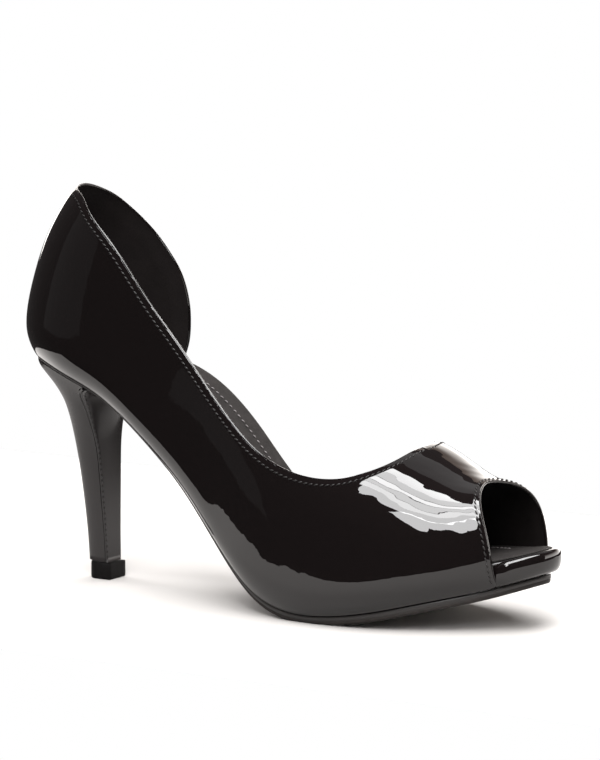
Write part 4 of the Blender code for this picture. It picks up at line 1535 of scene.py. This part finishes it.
@dataclass
class Studio:
    """Pale table, glowing wall, white dome, lamps and camera."""

    azimuth: float = 33.0
    elevation: float = 9.2
    distance: float = 2.8
    lens: float = 341.6
    target: tuple[float, float, float] = (-0.00208, 0.01359, 0.08443)
    table_back: float = 0.22
    table_front: tuple[tuple[float, float], ...] = (
        (-0.34, -0.155),
        (-0.20, -0.145),
        (-0.10, -0.140),
        (0.0, -0.138),
        (0.28, -0.138),
    )
    wall_radius: float = 2.4
    wall_height: float = 1.45
    dome_radius: float = 12.0

    def camera(self) -> None:
        """Camera on a circle round the target, level with the horizon."""
        a, e = np.radians(self.azimuth), np.radians(self.elevation)
        right = np.array([np.cos(a), np.sin(a), 0])
        back = np.array([np.sin(a) * np.cos(e), -np.cos(a) * np.cos(e), np.sin(e)])
        data = bpy.data.cameras.new("camera")
        data.lens, data.sensor_width, data.clip_end = self.lens, 36.0, 40.0
        camera = bpy.data.objects.new("camera", data)
        matrix = np.eye(4)
        matrix[:3, :3] = np.stack([right, np.cross(back, right), back], -1)
        matrix[:3, 3] = np.array(self.target) + back * self.distance
        camera.matrix_world = Matrix(matrix.tolist())
        bpy.context.scene.collection.objects.link(camera)
        bpy.context.scene.camera = camera

    @staticmethod
    def staged(name: str, grid: Array, material: bpy.types.Material) -> bpy.types.Object:
        """A stage piece over a grid of points."""
        shape = Shape()
        shape.add_grid(grid)
        mesh = bpy.data.meshes.new(name)
        mesh.from_pydata(shape.points.tolist(), [], shape.quads.tolist())
        mesh.shade_smooth()
        mesh.materials.append(material)
        made = bpy.data.objects.new(name, mesh)
        bpy.context.scene.collection.objects.link(made)
        return made

    @staticmethod
    def glowing(name: str, low: tuple[float, ...], high: tuple[float, ...], top: float) -> bpy.types.Material:
        """A surface that gives off light by itself.

        Args:
            name: name of the material.
            low: colour of the light at the floor; it may be over 1.
            high: colour of the light at the top.
            top: height of the top.

        Returns:
            The material, whose light runs smoothly from one colour to the other.
        """
        made = bpy.data.materials.new(name)
        made.use_nodes = True
        tree = made.node_tree
        shader = tree.nodes["Principled BSDF"]
        shader.inputs["Base Color"].default_value = (0, 0, 0, 1)
        shader.inputs["Specular IOR Level"].default_value = 0.0
        shader.inputs["Emission Strength"].default_value = 1.0
        place = tree.nodes.new("ShaderNodeTexCoord")
        parts = tree.nodes.new("ShaderNodeSeparateXYZ")
        share = tree.nodes.new("ShaderNodeMapRange")
        share.interpolation_type = "SMOOTHSTEP"
        share.inputs["From Max"].default_value = top
        mix = tree.nodes.new("ShaderNodeMix")
        mix.data_type = "RGBA"
        mix.clamp_result = False
        mix.inputs[6].default_value = (*low, 1.0)
        mix.inputs[7].default_value = (*high, 1.0)
        tree.links.new(place.outputs["Object"], parts.inputs["Vector"])
        tree.links.new(parts.outputs["Z"], share.inputs["Value"])
        tree.links.new(share.outputs["Result"], mix.inputs[0])
        tree.links.new(mix.outputs[2], shader.inputs["Emission Color"])
        return made

    def surroundings(self) -> None:
        """Table, a wall that lights and mirrors but isn't seen, and a dome that only the camera sees."""
        front = np.array([(x, y, 0.0) for x, y in self.table_front])
        back = front * (1, 0, 0) + (0, self.table_back, 0)
        white = Finish("table_white", (0.36, 0.347, 0.338), 0.7, specular=0.0).make()
        self.staged("table", np.stack([front, back], axis=1), white)
        around = np.radians(np.linspace(10, 146, 60))[:, None]
        height = np.linspace(0.0, self.wall_height, 3)[None]
        wall = self.wall_radius * np.stack([np.cos(around), np.sin(around)], -1)
        wall = np.broadcast_to(wall, (60, 3, 2))
        grid = np.concatenate([wall, np.broadcast_to(height, (60, 3))[..., None]], -1)
        light = self.glowing("wall_white", (5.0, 4.8, 4.6), (0.50, 0.40, 0.34), self.wall_height)
        self.staged("wall", grid, light).visible_camera = False
        turned = np.linspace(0, 2 * np.pi, 49)[:, None]
        up = np.linspace(-np.pi / 2, np.pi / 2, 25)[None]
        ball = (np.cos(turned) * np.cos(up), np.sin(turned) * np.cos(up), 0 * turned + np.sin(up))
        light = self.glowing("dome_white", (1.0, 1.0, 1.0), (1.0, 1.0, 1.0), 1.0)
        dome = self.staged("dome", self.dome_radius * np.stack(ball, -1), light)
        for way in ("diffuse", "glossy", "transmission", "volume_scatter", "shadow"):
            setattr(dome, "visible_" + way, False)

    def build(self) -> None:
        """Sets camera, surroundings, lights and the view transform."""
        scene = bpy.context.scene
        scene.view_settings.view_transform = "Standard"
        world = bpy.data.worlds.new("studio")
        scene.world = world
        world.use_nodes = True
        world.node_tree.nodes["Background"].inputs["Color"].default_value = (1.0, 0.93, 0.92, 1)
        world.node_tree.nodes["Background"].inputs["Strength"].default_value = 0.06
        self.camera()
        self.surroundings()
        facing = (0.06, -0.02, 0.05)
        edges = (-0.50, -0.31, -0.17, -0.02, 0.10, 0.27, 0.50)
        for k, radiance in enumerate((14.0, 19.0, 15.0, 22.0, 14.0, 19.0)):
            share, width = (edges[k] + edges[k + 1]) / 2, edges[k + 1] - edges[k] - 0.010
            place = (0.30, -0.44 + 1.42 * share, 1.24 + 0.48 * share)
            Lamp(f"softbox_{k}", place, facing, 0.80, 1.50 * width, radiance).make()
        Lamp("wing", (0.66, -1.25, 0.80), facing, 0.50, 0.50, 14.0).make()
        Lamp("low_fill", (-1.20, 0.30, 0.80), (0, 0, 0), 0.8, 0.8, 12.0, mirrored=False).make()
        Lamp("ceiling", (0.0, 1.15, 1.55), facing, 1.6, 0.8, 0.45).make()
        for k, size in enumerate((0.3, 0.5, 0.7)):
            Lamp(f"side_{k}", (-1.45, -0.80, 0.25), (-0.06, 0, 0.1), size, size + 0.4, 0.085).make()
        Lamp("back_fill", (-0.25, 0.90, 1.50), (0, 0, 0), 1.4, 0.9, 10.0, mirrored=False).make()


def main() -> None:
    """Builds the shoe piece by piece, then the studio."""
    logging.basicConfig(level=logging.INFO, format="%(message)s")
    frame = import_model()
    LOG.info("frame with %d nodes", len(frame["nodes"]))
    tip_low, tip_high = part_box("heel_tip")
    tip_from_back = Heel.tip_from_back
    place = np.array([(tip_low.x + tip_high.x) / 2 - tip_from_back, (tip_low.y + tip_high.y) / 2, 0.0])
    last = Last(place)
    upper = Upper(last)
    bottom = Bottom(last, upper)
    for part in (upper, bottom, Heel(last, bottom), Studio()):
        part.build()


if __name__ == "__main__":
    main()
